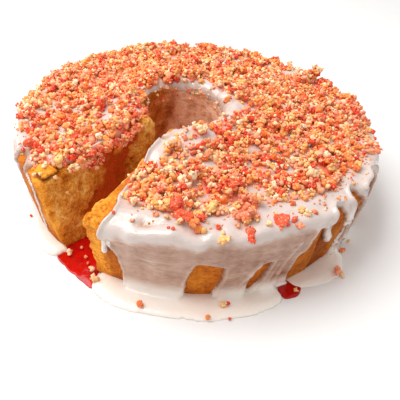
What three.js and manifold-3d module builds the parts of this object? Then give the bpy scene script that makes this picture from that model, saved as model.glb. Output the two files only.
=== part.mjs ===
// A ring-shaped pound cake with one slice taken out. White icing is poured over its top, hangs
// down the side in sheets and drips and lies in pools round the foot. Baked crumbs cover the
// icing, and a little red sauce lies on the ground in the slice's gap and beside the foot.
// Millimetres, +Z up. The cake stands on z = 0 with its axis on Z, and the gap opens towards -Y.
// Azimuths are degrees from +X, anticlockwise seen from above.
import * as THREE from 'three';
import { mergeVertices } from 'three/addons/utils/BufferGeometryUtils.js';
import Module from 'manifold-3d';

const wasm = await Module();
wasm.setup();

// The bare cake, a ring whose hole baked a little off its middle
const BASE_RADIUS = 114.5;
const WIDEST_RADIUS = 122;
const SHOULDER_HEIGHT = 44;
const TOP_HEIGHT = 51.5;
const DISH_DEPTH = 3.5;
const CROWN_HEIGHT = 63;
const HOLE_RIM_RADIUS = 27.5;
const HOLE_BASE_RADIUS = 32;
const HOLE_CENTRE = new THREE.Vector2(-7.6, -5.7);
const SWELLS = [{ waves: 2, share: 0.004, phase: 0.9 }, { waves: 5, share: 0.003, phase: 0 }];
const RISES = [{ waves: 1, share: 0.018, phase: -1.4 }, { waves: 3, share: 0.008, phase: 0 }];

// The missing slice: each cut face's distance from the axis along X, its turn and its lean
const FAR_FACE = { offset: 7.5, turn: 0.177, lean: -0.2, setBack: -1.5 };
const NEAR_FACE = { offset: 2.2, turn: -0.13, lean: -0.04, setBack: 4.5 };
const SLICE_INNER_Y = -14;
const CUTTER_REACH = 160;
const CUTTER_BELOW = 10;
const CUTTER_HEIGHT = 100;

// The icing that clings to the cake, measured outwards from the bare cake
const GAP = 0.4;
const SHEET_THICKNESS = 2;
const LIP_THICKNESS = 3.2;
const LIP_DROP = 7;
const TOP_THICKNESS = 3;
const COAT_FOOT = 4.6;
const COAT_END_IN_HOLE = 48;
const BARE_CORNER = { x: 17, y: -112, size: 8.5 };

// Bare places where the icing parted: azimuths at the foot and at the crown of each, and the
// heights between which it lies
const BARE_PLACES = [
  { foot: [274, 288.6], crown: [274, 286], low: 0, high: 37 },
  { foot: [306.8, 312.9], crown: [309.2, 316.2], low: 0, high: 34 },
  { foot: [324.2, 325.7], crown: [326.8, 329], low: 4, high: 31.5 },
  { foot: [336.8, 350.4], crown: [340.4, 343.6], low: 0, high: 48 },
  { foot: [350.4, 354.2], crown: [346.6, 349.4], low: 22, high: 53 },
  { foot: [356, 358.4], crown: [356.8, 359.6], low: 8, high: 54 },
  { foot: [1.5, 4.5], crown: [4.5, 8], low: 30, high: 52 },
  { foot: [238, 268], crown: [242, 268], low: 0, high: 48 },
];
const UNSEEN_PLACES = { from: 16, to: 232, count: 10, share: 0.45, low: 26, high: 50 };
const CROWN_START = 0.7;

// The icing that ran on to the ground: each pool's azimuths and how far it reaches at its
// start, its middle and its end
const POOLS = [
  { name: 'icing_pool_front', azimuths: [281, 333], reach: [127, 132, 129] },
  { name: 'icing_pool_right', azimuths: [340, 361], reach: [128, 130.5, 125] },
  { name: 'icing_pool_back', azimuths: [110, 205], reach: [125, 129.5, 126] },
  { name: 'icing_pool_left', azimuths: [247, 265.5], reach: [119.5, 123.5, 122] },
];
const POOL_INNER_RADIUS = 115.6;
const POOL_HEIGHT = 3;

// The red sauce on the ground, from inside the cake's foot to outside it
const SAUCES = [
  { name: 'sauce_in_gap', inside: [268.3, 277.5], outside: [266.5, 280.2], radii: [58, 112, 125] },
  { name: 'sauce_at_foot', inside: [333.8, 339.2], outside: [333.8, 339.2], radii: [116, 118, 126.5] },
];
const SAUCE_HEIGHT = 1.4;
const SAUCE_EDGE = 0.5;
const SAUCE_ROUNDING = 5;

// The crumbs, each a small uneven lump
const TOPPING_CRUMBS = 190;
const TOPPING_RADII = [35, 117];
const CRUMB_SIZES = [2.7, 5.2];
const CRUMB_FLATNESS = 0.8;
const CRUMB_SINK = 1.8;
const CRUMB_CLEAR_OF_CUT = 7;
const GLOSSY_PLACE = { azimuths: [278, 306], from: 99 };
const FALLEN_CRUMBS = [
  { on: 'icing_pool_front', azimuth: 295.2, radius: 125, size: 3 },
  { on: 'icing_pool_front', azimuth: 312.7, radius: 128, size: 2.4 },
  { on: 'icing_pool_front', azimuth: 317, radius: 122.5, size: 3.2 },
  { on: 'icing_pool_right', azimuth: 351.9, radius: 125, size: 4.4 },
  { on: 'sauce_at_foot', azimuth: 337, radius: 122, size: 3.4 },
  { on: 'sauce_in_gap', azimuth: 277.6, radius: 119.5, size: 3.8 },
  { on: 'sauce_in_gap', azimuth: 269.2, radius: 111, size: 3.4 },
  { on: 'sauce_in_gap', azimuth: 274, radius: 108, size: 2.6 },
];

// Fineness of the facets
const SEGMENTS = 72;
const CURVE_STEPS = 3;
const MERGE_DISTANCE = 1e-4;

const CAKE_FINISH = { color: 0xc8852f, roughness: 0.85 };
const ICING_FINISH = { color: 0xf1e6df, roughness: 0.35 };
const POOL_FINISH = { color: 0xf5e6da, roughness: 0.3 };
const SAUCE_FINISH = { color: 0xd8120f, roughness: 0.15 };

const { clamp, degToRad, lerp, radToDeg, smoothstep } = THREE.MathUtils;

/** A repeatable stream of numbers between 0 and 1. */
function randomStream(seed) {
  let state = seed;
  return () => {
    state = (state + 0x6d2b79f5) | 0;
    let mixed = Math.imul(state ^ (state >>> 15), state | 1);
    mixed ^= mixed + Math.imul(mixed ^ (mixed >>> 7), mixed | 61);
    return ((mixed ^ (mixed >>> 14)) >>> 0) / 4294967296;
  };
}

/** A point from its azimuth, its distance from the axis and its height. */
function cylindrical(azimuth, radius, height = 0) {
  const angle = degToRad(azimuth);
  return new THREE.Vector3(radius * Math.cos(angle), radius * Math.sin(angle), height);
}

/** The solid that a closed geometry bounds. */
function solidOf(geometry) {
  const bare = geometry.clone();
  bare.deleteAttribute('normal');
  bare.deleteAttribute('uv');
  const merged = mergeVertices(bare, MERGE_DISTANCE);
  return new wasm.Manifold(new wasm.Mesh({
    numProp: 3,
    vertProperties: merged.attributes.position.array,
    triVerts: Uint32Array.from(merged.index.array),
  }));
}

/** The geometry of a solid's largest body, without loose scraps. */
function geometryOf(solid) {
  const bodies = solid.decompose().sort((a, b) => b.volume() - a.volume());
  const mesh = bodies[0].getMesh();
  const geometry = new THREE.BufferGeometry();
  geometry.setAttribute('position', new THREE.Float32BufferAttribute(mesh.vertProperties, 3));
  geometry.setIndex(Array.from(mesh.triVerts));
  geometry.computeVertexNormals();
  return geometry;
}

/** A named piece with its own material. */
function piece(name, solid, finish) {
  const mesh = new THREE.Mesh(geometryOf(solid), new THREE.MeshStandardMaterial(finish));
  mesh.name = name;
  return mesh;
}

/** The geometry with each of its points moved by a rule. */
function reshaped(geometry, rule) {
  const position = geometry.attributes.position;
  for (let i = 0; i < position.count; i += 1) {
    const { x, y, z } = rule(new THREE.Vector3().fromBufferAttribute(position, i));
    position.setXYZ(i, x, y, z);
  }
  return geometry;
}

/** One and the sum of a few waves round the ring, at an angle in radians. */
function waves(list, angle) {
  return list.reduce((sum, wave) => sum + wave.share * Math.sin(wave.waves * angle + wave.phase), 1);
}

/** Where a point of a true ring lies in the uneven baked cake. */
function baked({ x, y, z }) {
  const angle = Math.atan2(y, x);
  const drawn = 1 - smoothstep(Math.hypot(x, y), HOLE_BASE_RADIUS, BASE_RADIUS);
  const swell = waves(SWELLS, angle);
  return new THREE.Vector3(
    x * swell + HOLE_CENTRE.x * drawn,
    y * swell + HOLE_CENTRE.y * drawn,
    z * waves(RISES, angle),
  );
}

/** A ring turned from a closed outline of radius and height. */
function turnedRing(outline) {
  const halfStep = Math.PI / SEGMENTS;
  const closed = [...outline, outline[0]];
  const geometry = new THREE.LatheGeometry(closed, SEGMENTS, halfStep, 2 * Math.PI);
  return geometry.rotateX(Math.PI / 2);
}

/** The cake's outline from the foot, over the shoulder and the top, to the foot of the hole. */
function cakeOutline() {
  const rim = HOLE_RIM_RADIUS;
  const dish = lerp(rim, WIDEST_RADIUS, 0.55);
  const outline = new THREE.Path();
  outline.moveTo(BASE_RADIUS, 0);
  outline.lineTo(BASE_RADIUS + 0.8, COAT_FOOT);
  outline.quadraticCurveTo(WIDEST_RADIUS - 1.5, 0.6 * SHOULDER_HEIGHT, WIDEST_RADIUS, SHOULDER_HEIGHT);
  outline.quadraticCurveTo(WIDEST_RADIUS, TOP_HEIGHT, WIDEST_RADIUS - 12, TOP_HEIGHT);
  outline.quadraticCurveTo(dish, TOP_HEIGHT - DISH_DEPTH, rim + 9, CROWN_HEIGHT - 1);
  outline.quadraticCurveTo(rim, CROWN_HEIGHT + 2, rim, CROWN_HEIGHT - 7);
  outline.lineTo(lerp(rim, HOLE_BASE_RADIUS, 0.2), COAT_END_IN_HOLE);
  outline.lineTo(HOLE_BASE_RADIUS, 0);
  return outline.getPoints(CURVE_STEPS);
}

/** The outline moved outwards at each point by a distance that may differ from point to point. */
function movedOut(outline, distance) {
  return outline.map((point, i) => {
    const before = outline[Math.max(i - 1, 0)];
    const after = outline[Math.min(i + 1, outline.length - 1)];
    const along = new THREE.Vector2().subVectors(after, before).normalize();
    return new THREE.Vector2(along.y, -along.x).multiplyScalar(distance(point)).add(point);
  });
}

/** Where a cut face stands along X, at a distance along Y and a height. */
function cutAt(face, y, z) {
  return face.offset + face.turn * y + face.lean * z;
}

/** The missing slice, or the wider slice that the icing leaves open. */
function slice(setBack = false) {
  return solidOf(reshaped(new THREE.BoxGeometry(1, 1, 1), (corner) => {
    const face = corner.x < 0 ? FAR_FACE : NEAR_FACE;
    const y = corner.y < 0 ? -CUTTER_REACH : SLICE_INNER_Y;
    const z = corner.z < 0 ? -CUTTER_BELOW : CUTTER_HEIGHT;
    return new THREE.Vector3(cutAt(face, y, z) + (setBack ? face.setBack : 0), y, z);
  }));
}

/** A round-crowned cutter that opens one bare place in the side's icing. */
function bareCutter({ foot, crown, low, high }) {
  const middle = (Math.min(...foot, ...crown) + Math.max(...foot, ...crown)) / 2;
  const across = (azimuth) => WIDEST_RADIUS * Math.sin(degToRad(azimuth - middle));
  const shoulder = lerp(low, high, CROWN_START);
  const top = (across(crown[0]) + across(crown[1])) / 2;
  const shape = new THREE.Shape();
  shape.moveTo(across(foot[0]), low);
  shape.lineTo(across(foot[1]), low);
  shape.lineTo(across(crown[1]), shoulder);
  shape.quadraticCurveTo(across(crown[1]), high, top, high);
  shape.quadraticCurveTo(across(crown[0]), high, across(crown[0]), shoulder);
  const geometry = new THREE.ExtrudeGeometry(shape, {
    depth: CUTTER_REACH - BASE_RADIUS,
    curveSegments: CURVE_STEPS,
    bevelEnabled: false,
  });
  geometry.translate(0, 0, BASE_RADIUS - CUTTER_BELOW);
  const out = cylindrical(middle, 1);
  const up = new THREE.Vector3(0, 0, 1);
  const along = new THREE.Vector3().crossVectors(up, out);
  return solidOf(geometry.applyMatrix4(new THREE.Matrix4().makeBasis(along, up, out)));
}

/** The bare places on the unseen side, spaced evenly with uneven widths and heights. */
function unseenPlaces() {
  const random = randomStream(7);
  const { from, to, count, share, low, high } = UNSEEN_PLACES;
  const pitch = (to - from) / count;
  return Array.from({ length: count }, (_, i) => {
    const middle = from + (i + 0.5) * pitch;
    const half = 0.5 * share * pitch * lerp(0.6, 1.4, random());
    const lean = lerp(-2, 2, random());
    return {
      foot: [middle - half, middle + half],
      crown: [middle - 0.8 * half + lean, middle + 0.8 * half + lean],
      low: 0,
      high: lerp(low, high, random()),
    };
  });
}

/** An uneven lump at a place, its half-widths near a size. */
function crumb(place, size, random) {
  const ball = new THREE.OctahedronGeometry(1, 0);
  ball.deleteAttribute('normal');
  ball.deleteAttribute('uv');
  const lump = mergeVertices(ball, MERGE_DISTANCE);
  reshaped(lump, (point) => point.multiplyScalar(lerp(0.8, 1.1, random())));
  lump.rotateX(2 * Math.PI * random());
  lump.rotateZ(2 * Math.PI * random());
  lump.scale(size * lerp(0.8, 1.15, random()), size * lerp(0.7, 1, random()), CRUMB_FLATNESS * size);
  lump.translate(place.x, place.y, place.z);
  return solidOf(lump);
}

/** The height of an outline's upper face at a distance from the axis. */
function heightOn(outline, radius) {
  const next = outline.findIndex((point, i) => i > 0 && point.x <= radius && point.y > TOP_HEIGHT);
  const share = (radius - outline[next].x) / (outline[next - 1].x - outline[next].x);
  return lerp(outline[next].y, outline[next - 1].y, share);
}

/** Whether a crumb of the topping may lie here: clear of the gap and of the glossy place. */
function topped(place, azimuth, radius) {
  const [far, near] = [FAR_FACE, NEAR_FACE].map((face) => cutAt(face, place.y, place.z));
  const inGap = place.x > far - CRUMB_CLEAR_OF_CUT && place.x < near + CRUMB_CLEAR_OF_CUT && place.y < 0;
  const [glossFrom, glossTo] = GLOSSY_PLACE.azimuths;
  const glossy = azimuth > glossFrom && azimuth < glossTo && radius > GLOSSY_PLACE.from;
  return !inGap && !glossy;
}

/** The largest crumbs of the topping, spread evenly by the golden angle. */
function toppingCrumbs(upperFace) {
  const random = randomStream(23);
  const goldenAngle = 180 * (3 - Math.sqrt(5));
  const crumbs = [];
  for (let i = 0; i < TOPPING_CRUMBS; i += 1) {
    const share = (i + random()) / TOPPING_CRUMBS;
    const radius = Math.sqrt(lerp(TOPPING_RADII[0] ** 2, TOPPING_RADII[1] ** 2, share));
    const azimuth = (i * goldenAngle + lerp(-3, 3, random())) % 360;
    const size = lerp(...CRUMB_SIZES, random());
    const place = baked(cylindrical(azimuth, radius, heightOn(upperFace, radius)));
    place.z += Math.max(0.3 * size, CRUMB_FLATNESS * size - CRUMB_SINK);
    if (topped(place, azimuth, radius)) {
      crumbs.push(crumb(place, size, random));
    }
  }
  return crumbs;
}

/** The bare cake with its slice taken out. */
function cake() {
  const ring = solidOf(reshaped(turnedRing(cakeOutline()), baked));
  return piece('cake', ring.subtract(slice()), CAKE_FINISH);
}

/** How thick the icing is over a point of the cake's outline: a thick lip over a thin sheet. */
function icingThickness({ x, y }) {
  const onSide = x > WIDEST_RADIUS - LIP_DROP;
  const side = y > SHOULDER_HEIGHT - LIP_DROP ? LIP_THICKNESS : SHEET_THICKNESS;
  return onSide ? side : TOP_THICKNESS;
}

/** The icing on the cake: a closed coat, parted at the bare places, with the topping on it. */
function icing() {
  const coated = cakeOutline().slice(1, -1);
  const upperFace = movedOut(coated, (point) => GAP + icingThickness(point));
  const underFace = movedOut(coated, () => GAP).reverse();
  const corner = new THREE.CylinderGeometry(BARE_CORNER.size, BARE_CORNER.size, CUTTER_HEIGHT);
  corner.rotateX(Math.PI / 2);
  corner.translate(BARE_CORNER.x, BARE_CORNER.y, CROWN_HEIGHT);
  const cutters = [...BARE_PLACES, ...unseenPlaces()].map(bareCutter);
  const coat = [slice(true), solidOf(corner), ...cutters].reduce(
    (left, cutter) => left.subtract(cutter),
    solidOf(reshaped(turnedRing([...upperFace, ...underFace]), baked)),
  );
  return piece('icing', wasm.Manifold.union([coat, ...toppingCrumbs(upperFace)]), ICING_FINISH);
}

/** The crumbs that fell on one of the pools or puddles on the ground. */
function fallenCrumbs(name, height) {
  const random = randomStream(41);
  return FALLEN_CRUMBS.filter((fallen) => fallen.on === name).map(({ azimuth, radius, size }) => {
    const middle = Math.max(height + 0.5 * size - 0.6, size);
    return crumb(cylindrical(azimuth, radius, middle), size, random);
  });
}

/** How far a pool reaches at an azimuth: a curve through its three reaches. */
function poolReach({ azimuths, reach }, azimuth) {
  const share = clamp((azimuth - azimuths[0]) / (azimuths[1] - azimuths[0]), 0, 1);
  const curve = new THREE.SplineCurve(reach.map((radius, i) => new THREE.Vector2(i / 2, radius)));
  return curve.getPoint(share).y;
}

/** A sector from the axis outwards between two azimuths. */
function sector([from, to]) {
  const corners = [0, 1 / 3, 2 / 3, 1].map((share) => {
    const { x, y } = cylindrical(lerp(from, to, share), CUTTER_REACH);
    return new THREE.Vector2(x, y);
  });
  const shape = new THREE.Shape([new THREE.Vector2(), ...corners]);
  const geometry = new THREE.ExtrudeGeometry(shape, { depth: CUTTER_HEIGHT, bevelEnabled: false });
  return solidOf(geometry.translate(0, 0, -CUTTER_BELOW));
}

/** A pool on the ground beside the cake's foot. Its section is first drawn 1 mm wide. */
function icingPool(pool) {
  const { name, azimuths } = pool;
  const outline = [
    [0, POOL_HEIGHT], [0, 0], [1, 0], [1, 0.3 * POOL_HEIGHT], [0.4, POOL_HEIGHT],
  ].map(([across, height]) => new THREE.Vector2(POOL_INNER_RADIUS + across, height));
  const ring = reshaped(turnedRing(outline), ({ x, y, z }) => {
    const angle = Math.atan2(y, x);
    const azimuth = ((radToDeg(angle) - azimuths[0] + 720) % 360) + azimuths[0];
    const inner = POOL_INNER_RADIUS * waves(SWELLS, angle);
    const across = Math.hypot(x, y) - POOL_INNER_RADIUS;
    return cylindrical(azimuth, lerp(inner, poolReach(pool, azimuth), across), z);
  });
  const stretch = solidOf(ring).intersect(sector(azimuths));
  const crumbs = fallenCrumbs(name, POOL_HEIGHT);
  return piece(name, wasm.Manifold.union([stretch, ...crumbs]), POOL_FINISH);
}

/** A flat puddle of sauce, from inside the cake's foot to a round edge outside it. */
function sauce({ name, inside, outside, radii }) {
  const [inner, foot, outer] = radii;
  const flanks = outside.map((azimuth) => cylindrical(azimuth, outer - SAUCE_ROUNDING));
  const shoulders = outside.map((azimuth) => cylindrical(azimuth, outer));
  const tip = cylindrical((outside[0] + outside[1]) / 2, outer);
  const shape = new THREE.Shape();
  shape.setFromPoints([cylindrical(inside[0], inner), cylindrical(inside[0], foot), flanks[0]]);
  shape.quadraticCurveTo(shoulders[0].x, shoulders[0].y, tip.x, tip.y);
  shape.quadraticCurveTo(shoulders[1].x, shoulders[1].y, flanks[1].x, flanks[1].y);
  for (const corner of [cylindrical(inside[1], foot), cylindrical(inside[1], inner)]) {
    shape.lineTo(corner.x, corner.y);
  }
  const geometry = new THREE.ExtrudeGeometry(shape, {
    depth: SAUCE_HEIGHT - 2 * SAUCE_EDGE,
    curveSegments: CURVE_STEPS,
    bevelThickness: SAUCE_EDGE,
    bevelSize: SAUCE_EDGE,
    bevelOffset: -SAUCE_EDGE,
    bevelSegments: 1,
  });
  geometry.translate(0, 0, SAUCE_EDGE);
  const crumbs = fallenCrumbs(name, SAUCE_HEIGHT);
  return piece(name, wasm.Manifold.union([solidOf(geometry), ...crumbs]), SAUCE_FINISH);
}

const group = new THREE.Group();
group.add(cake(), icing(), ...POOLS.map(icingPool), ...SAUCES.map(sauce));

export default group;
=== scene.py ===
"""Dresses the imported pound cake: a baked ring with a slice cut out, poured icing, crumbs and sauce.

Sizes are in millimetres in the cake's own frame: +Z is up along the cake's axis, and the slice's gap
opens towards -Y. Azimuths are degrees from +X, anticlockwise seen from above.
"""

import logging
import math
from dataclasses import dataclass, field
from enum import Enum
from typing import Any, Iterable, Sequence

import bpy
import numpy as np
from mathutils import Matrix, Vector
from mathutils.bvhtree import BVHTree


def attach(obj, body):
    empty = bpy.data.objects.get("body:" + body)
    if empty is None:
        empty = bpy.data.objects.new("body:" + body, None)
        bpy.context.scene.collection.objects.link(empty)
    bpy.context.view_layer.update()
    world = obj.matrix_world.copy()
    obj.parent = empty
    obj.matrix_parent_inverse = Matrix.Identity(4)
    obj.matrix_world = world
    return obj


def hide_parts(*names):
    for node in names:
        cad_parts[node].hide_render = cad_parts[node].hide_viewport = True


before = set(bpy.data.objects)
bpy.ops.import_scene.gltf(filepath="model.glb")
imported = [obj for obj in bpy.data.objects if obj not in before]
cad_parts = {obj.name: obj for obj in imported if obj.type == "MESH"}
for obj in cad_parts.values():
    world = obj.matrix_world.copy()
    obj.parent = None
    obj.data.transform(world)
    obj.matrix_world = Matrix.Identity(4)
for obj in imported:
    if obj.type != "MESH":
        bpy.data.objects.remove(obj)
log = logging.getLogger("pound_cake")

Array = np.ndarray
Piece = bpy.types.Object
Colour = tuple[float, float, float]

MM = 0.001
FAR_AWAY = 99.0
SIDE_MM_PER_DEGREE = 2.1
ON_CAKE = 40.0
OVERHEAD = 200.0
DOWN = Vector((0.0, 0.0, -1.0))


def smooth_rise(low: float, high: float, value: Array) -> Array:
    """Rises smoothly from 0 where a value is low to 1 where it is high."""
    share = np.clip((value - low) / (high - low), 0.0, 1.0)
    return share * share * (3.0 - 2.0 * share)


def hump(distance: Array, width: float | Array) -> Array:
    """Falls smoothly from 1 at no distance towards 0 over about a width."""
    return np.exp(-((distance / width) ** 2))


def bend(start: Any, corner: Any, end: Any, share: Array) -> Array:
    """Finds places along a smooth bend that starts towards a corner and ends away from it."""
    return (1 - share) ** 2 * start + 2 * share * (1 - share) * corner + share**2 * end


def looked_up(table: Sequence[tuple[float, float]], at: Array) -> Array:
    """Reads a table of places and values, in straight lines between its rows."""
    return np.interp(at, *zip(*table))


def from_axis(places: Array) -> Array:
    """Measures how far places lie from the axis."""
    return np.hypot(places[:, 0], places[:, 1])


def azimuth_of(x: Array, y: Array) -> Array:
    """Finds the azimuths of places along X and Y."""
    return np.degrees(np.arctan2(y, x)) % 360.0


def around(azimuth: Array, middle: float) -> Array:
    """Turns azimuths into millimetres along the cake's side from a middle azimuth."""
    return ((azimuth - middle + 180.0) % 360.0 - 180.0) * SIDE_MM_PER_DEGREE


def on_the_side(azimuth: Array, climb: Array, middle: float) -> Array:
    """Lays places given by azimuth and length climbed flat on the cake's side, from a middle azimuth."""
    return np.stack([around(azimuth, middle), climb], axis=1)


def line_on_the_side(points: Sequence[tuple[float, float]]) -> Array:
    """Lays a line's points flat on the cake's side, from the azimuth of its first."""
    return on_the_side(*np.array(points, float).T, points[0][0])


def round_the_axis(azimuth: Array, radius: Array, height: Array) -> Array:
    """Places points by azimuth, distance from the axis and height."""
    angle = np.radians(azimuth)
    return np.stack([radius * np.cos(angle), radius * np.sin(angle), height], axis=-1)


def from_screen(red: int, green: int, blue: int) -> Colour:
    """Turns a screen colour of 0 to 255 into the linear colour that shaders take."""
    shares = [channel / 255.0 for channel in (red, green, blue)]
    return tuple(c / 12.92 if c <= 0.04045 else ((c + 0.055) / 1.055) ** 2.4 for c in shares)


class SmoothNoise:
    """Seeded noise between -1 and 1 that changes smoothly from place to place."""

    def __init__(self, seed: int, cells: int = 32) -> None:
        """Fills the lattice that the noise runs through, which repeats after so many cells."""
        self.cells = cells
        self.lattice = np.random.default_rng(seed).uniform(-1.0, 1.0, (cells,) * 3)

    def at(self, places: Array, size: float | Sequence[float]) -> Array:
        """Looks the noise up.

        Args:
            places: Points, one a row.
            size: The width of a lump of noise, or its width along each axis.

        Returns:
            The noise at each point.
        """
        scaled = places / np.asarray(size)
        low = np.floor(scaled).astype(int)
        share = scaled - low
        share = share * share * (3.0 - 2.0 * share)
        total = np.zeros(len(places))
        for corner in np.ndindex(2, 2, 2):
            i, j, k = ((low + corner) % self.cells).T
            total += np.prod(np.where(corner, share, 1.0 - share), axis=1) * self.lattice[i, j, k]
        return total


def outside_polygon(points: Array, corners: Array) -> Array:
    """Measures how far points lie outside a polygon.

    Args:
        points: Points in the plane, one a row.
        corners: The polygon's corners in order.

    Returns:
        The distance to the polygon's edge, negative inside it.
    """
    nearest = np.full(len(points), np.inf)
    inside = np.zeros(len(points), bool)
    for start, end in zip(corners, np.roll(corners, -1, axis=0)):
        along, apart = end - start, points - start
        share = np.clip(apart @ along / max(along @ along, 1e-9), 0.0, 1.0)
        nearest = np.minimum(nearest, np.hypot(*(apart - share[:, None] * along).T))
        crosses = (start[1] > points[:, 1]) != (end[1] > points[:, 1])
        rise = along[1] if along[1] else 1e-9
        inside ^= crosses & (apart[:, 0] < along[0] * apart[:, 1] / rise)
    return np.where(inside, -nearest, nearest)


def from_line(points: Array, line: Array) -> tuple[Array, Array]:
    """Measures how far points lie from a line of several stretches.

    Args:
        points: Points in the plane, one a row.
        line: The line's points in order.

    Returns:
        The distance from the line, and how far along the line the nearest place lies, from 0 to 1.
    """
    nearest = np.full(len(points), np.inf)
    share_along = np.zeros(len(points))
    for i, (start, end) in enumerate(zip(line[:-1], line[1:])):
        along, apart = end - start, points - start
        share = np.clip(apart @ along / max(along @ along, 1e-9), 0.0, 1.0)
        distance = np.hypot(*(apart - share[:, None] * along).T)
        closer = distance < nearest
        nearest = np.where(closer, distance, nearest)
        share_along = np.where(closer, (i + share) / (len(line) - 1), share_along)
    return nearest, share_along


class Bench:
    """The modelling steps that every piece is made with."""

    @staticmethod
    def take(piece: Piece) -> None:
        """Selects one piece alone and makes it the active one.

        Args:
            piece: The piece to work on.
        """
        bpy.ops.object.select_all(action="DESELECT")
        piece.select_set(True)
        bpy.context.view_layer.objects.active = piece

    @staticmethod
    def start(name: str, add: Any, **settings: Any) -> Piece:
        """Adds a primitive with nothing else selected.

        Args:
            name: The new piece's name.
            add: Blender's operator that adds the primitive.
            settings: The operator's settings.

        Returns:
            The new piece.
        """
        bpy.ops.object.select_all(action="DESELECT")
        add(**settings)
        piece = bpy.context.object
        piece.name = name
        return piece

    @staticmethod
    def read(piece: Piece, name: str) -> Array:
        """Reads a vector that each of a piece's vertices has.

        Args:
            piece: The piece to read.
            name: Blender's name for the vector.

        Returns:
            The vectors, one a row.
        """
        flat = np.empty(len(piece.data.vertices) * 3)
        piece.data.vertices.foreach_get(name, flat)
        return flat.reshape(-1, 3)

    @staticmethod
    def places(piece: Piece) -> Array:
        """Reads where a piece's vertices lie, in millimetres."""
        return Bench.read(piece, "co") / MM

    @staticmethod
    def normals(piece: Piece) -> Array:
        """Reads the normals of a piece's vertices."""
        return Bench.read(piece, "normal")

    @staticmethod
    def move(piece: Piece, places: Array) -> None:
        """Moves a piece's vertices to places in millimetres."""
        piece.data.vertices.foreach_set("co", (places * MM).ravel())
        piece.data.update()

    @staticmethod
    def finish(piece: Piece, kind: str, **settings: Any) -> None:
        """Adds a modifier to a piece and applies it.

        Args:
            piece: The piece to change.
            kind: Blender's name for the kind of modifier.
            settings: The modifier's settings.
        """
        Bench.take(piece)
        modifier = piece.modifiers.new(kind.lower(), kind)
        for name, value in settings.items():
            setattr(modifier, name, value)
        bpy.ops.object.modifier_apply(modifier=modifier.name)

    @staticmethod
    def cut(piece: Piece, cutter: Piece) -> None:
        """Takes a cutter's solid out of a piece, and the cutter away."""
        Bench.finish(piece, "BOOLEAN", operation="DIFFERENCE", solver="MANIFOLD", object=cutter)
        bpy.data.objects.remove(cutter)

    @staticmethod
    def weld(piece: Piece) -> None:
        """Merges a piece's doubled vertices and turns its faces outwards.

        Args:
            piece: The piece to clean.
        """
        Bench.take(piece)
        bpy.ops.object.mode_set(mode="EDIT")
        bpy.ops.mesh.select_all(action="SELECT")
        bpy.ops.mesh.remove_doubles(threshold=1e-6)
        bpy.ops.mesh.normals_make_consistent(inside=False)
        bpy.ops.object.mode_set(mode="OBJECT")

    @staticmethod
    def turned(name: str, section: Array, steps: int) -> Piece:
        """Turns a closed section round the axis.

        Args:
            name: The new piece's name.
            section: The section's points as radius and height.
            steps: How many steps the turn has.

        Returns:
            The turned ring.
        """
        piece = Bench.start(name, bpy.ops.mesh.primitive_circle_add, vertices=len(section))
        Bench.move(piece, np.stack([section[:, 0], 0.0 * section[:, 0], section[:, 1]], axis=1))
        bpy.ops.object.mode_set(mode="EDIT")
        bpy.ops.mesh.select_all(action="SELECT")
        bpy.ops.mesh.spin(steps=steps, angle=2.0 * math.pi, center=(0, 0, 0), axis=(0, 0, 1))
        bpy.ops.object.mode_set(mode="OBJECT")
        Bench.weld(piece)
        return piece

    @staticmethod
    def block(name: str, corner: Any) -> Piece:
        """Makes a block whose corners are placed by a rule.

        Args:
            name: The new piece's name.
            corner: Takes a corner of a cube of half-width 1, and returns its place.

        Returns:
            The block.
        """
        piece = Bench.start(name, bpy.ops.mesh.primitive_cube_add, size=2.0)
        Bench.move(piece, np.array([corner(*np.sign(place)) for place in Bench.places(piece)]))
        return piece

    @staticmethod
    def keep_islands(piece: Piece, fewest: int) -> None:
        """Deletes the loose scraps of a piece.

        Args:
            piece: The piece to clean.
            fewest: How many vertices an island needs to stay.
        """
        edges = np.empty(len(piece.data.edges) * 2, int)
        piece.data.edges.foreach_get("vertices", edges)
        first, second = edges.reshape(-1, 2).T
        label = np.arange(len(piece.data.vertices))
        while True:
            low = np.minimum(label[first], label[second])
            lower = label.copy()
            np.minimum.at(lower, first, low)
            np.minimum.at(lower, second, low)
            lower = lower[lower]
            if np.array_equal(lower, label):
                break
            label = lower
        scraps = np.bincount(label, minlength=len(label))[label] < fewest
        Bench.take(piece)
        bpy.ops.object.mode_set(mode="EDIT")
        bpy.ops.mesh.select_mode(type="VERT")
        bpy.ops.mesh.select_all(action="DESELECT")
        bpy.ops.object.mode_set(mode="OBJECT")
        piece.data.vertices.foreach_set("select", scraps)
        bpy.ops.object.mode_set(mode="EDIT")
        bpy.ops.mesh.delete(type="VERT")
        bpy.ops.object.mode_set(mode="OBJECT")

    @staticmethod
    def note(piece: Piece, name: str, values: Array) -> None:
        """Stores a number for each vertex, for the piece's material to read."""
        attribute = piece.data.attributes.new(name, "FLOAT", "POINT")
        attribute.data.foreach_set("value", values)

    @staticmethod
    def smooth(piece: Piece) -> None:
        """Shades a piece smoothly."""
        Bench.take(piece)
        bpy.ops.object.shade_smooth()

    @staticmethod
    def hand_over(piece: Piece, material: bpy.types.Material, slot: str, nodes: Iterable[str] = ()) -> None:
        """Gives a finished piece its material and puts it on the frame.

        Args:
            piece: The finished piece.
            material: Its material.
            slot: The record's material slot; not used.
            nodes: The CAD nodes that the piece stands for.
        """
        piece.data.materials.clear()
        piece.data.materials.append(material)
        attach(piece, "root")
        if nodes:
            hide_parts(*nodes)
        log.info("%s: %d faces", piece.name, len(piece.data.polygons))


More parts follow.
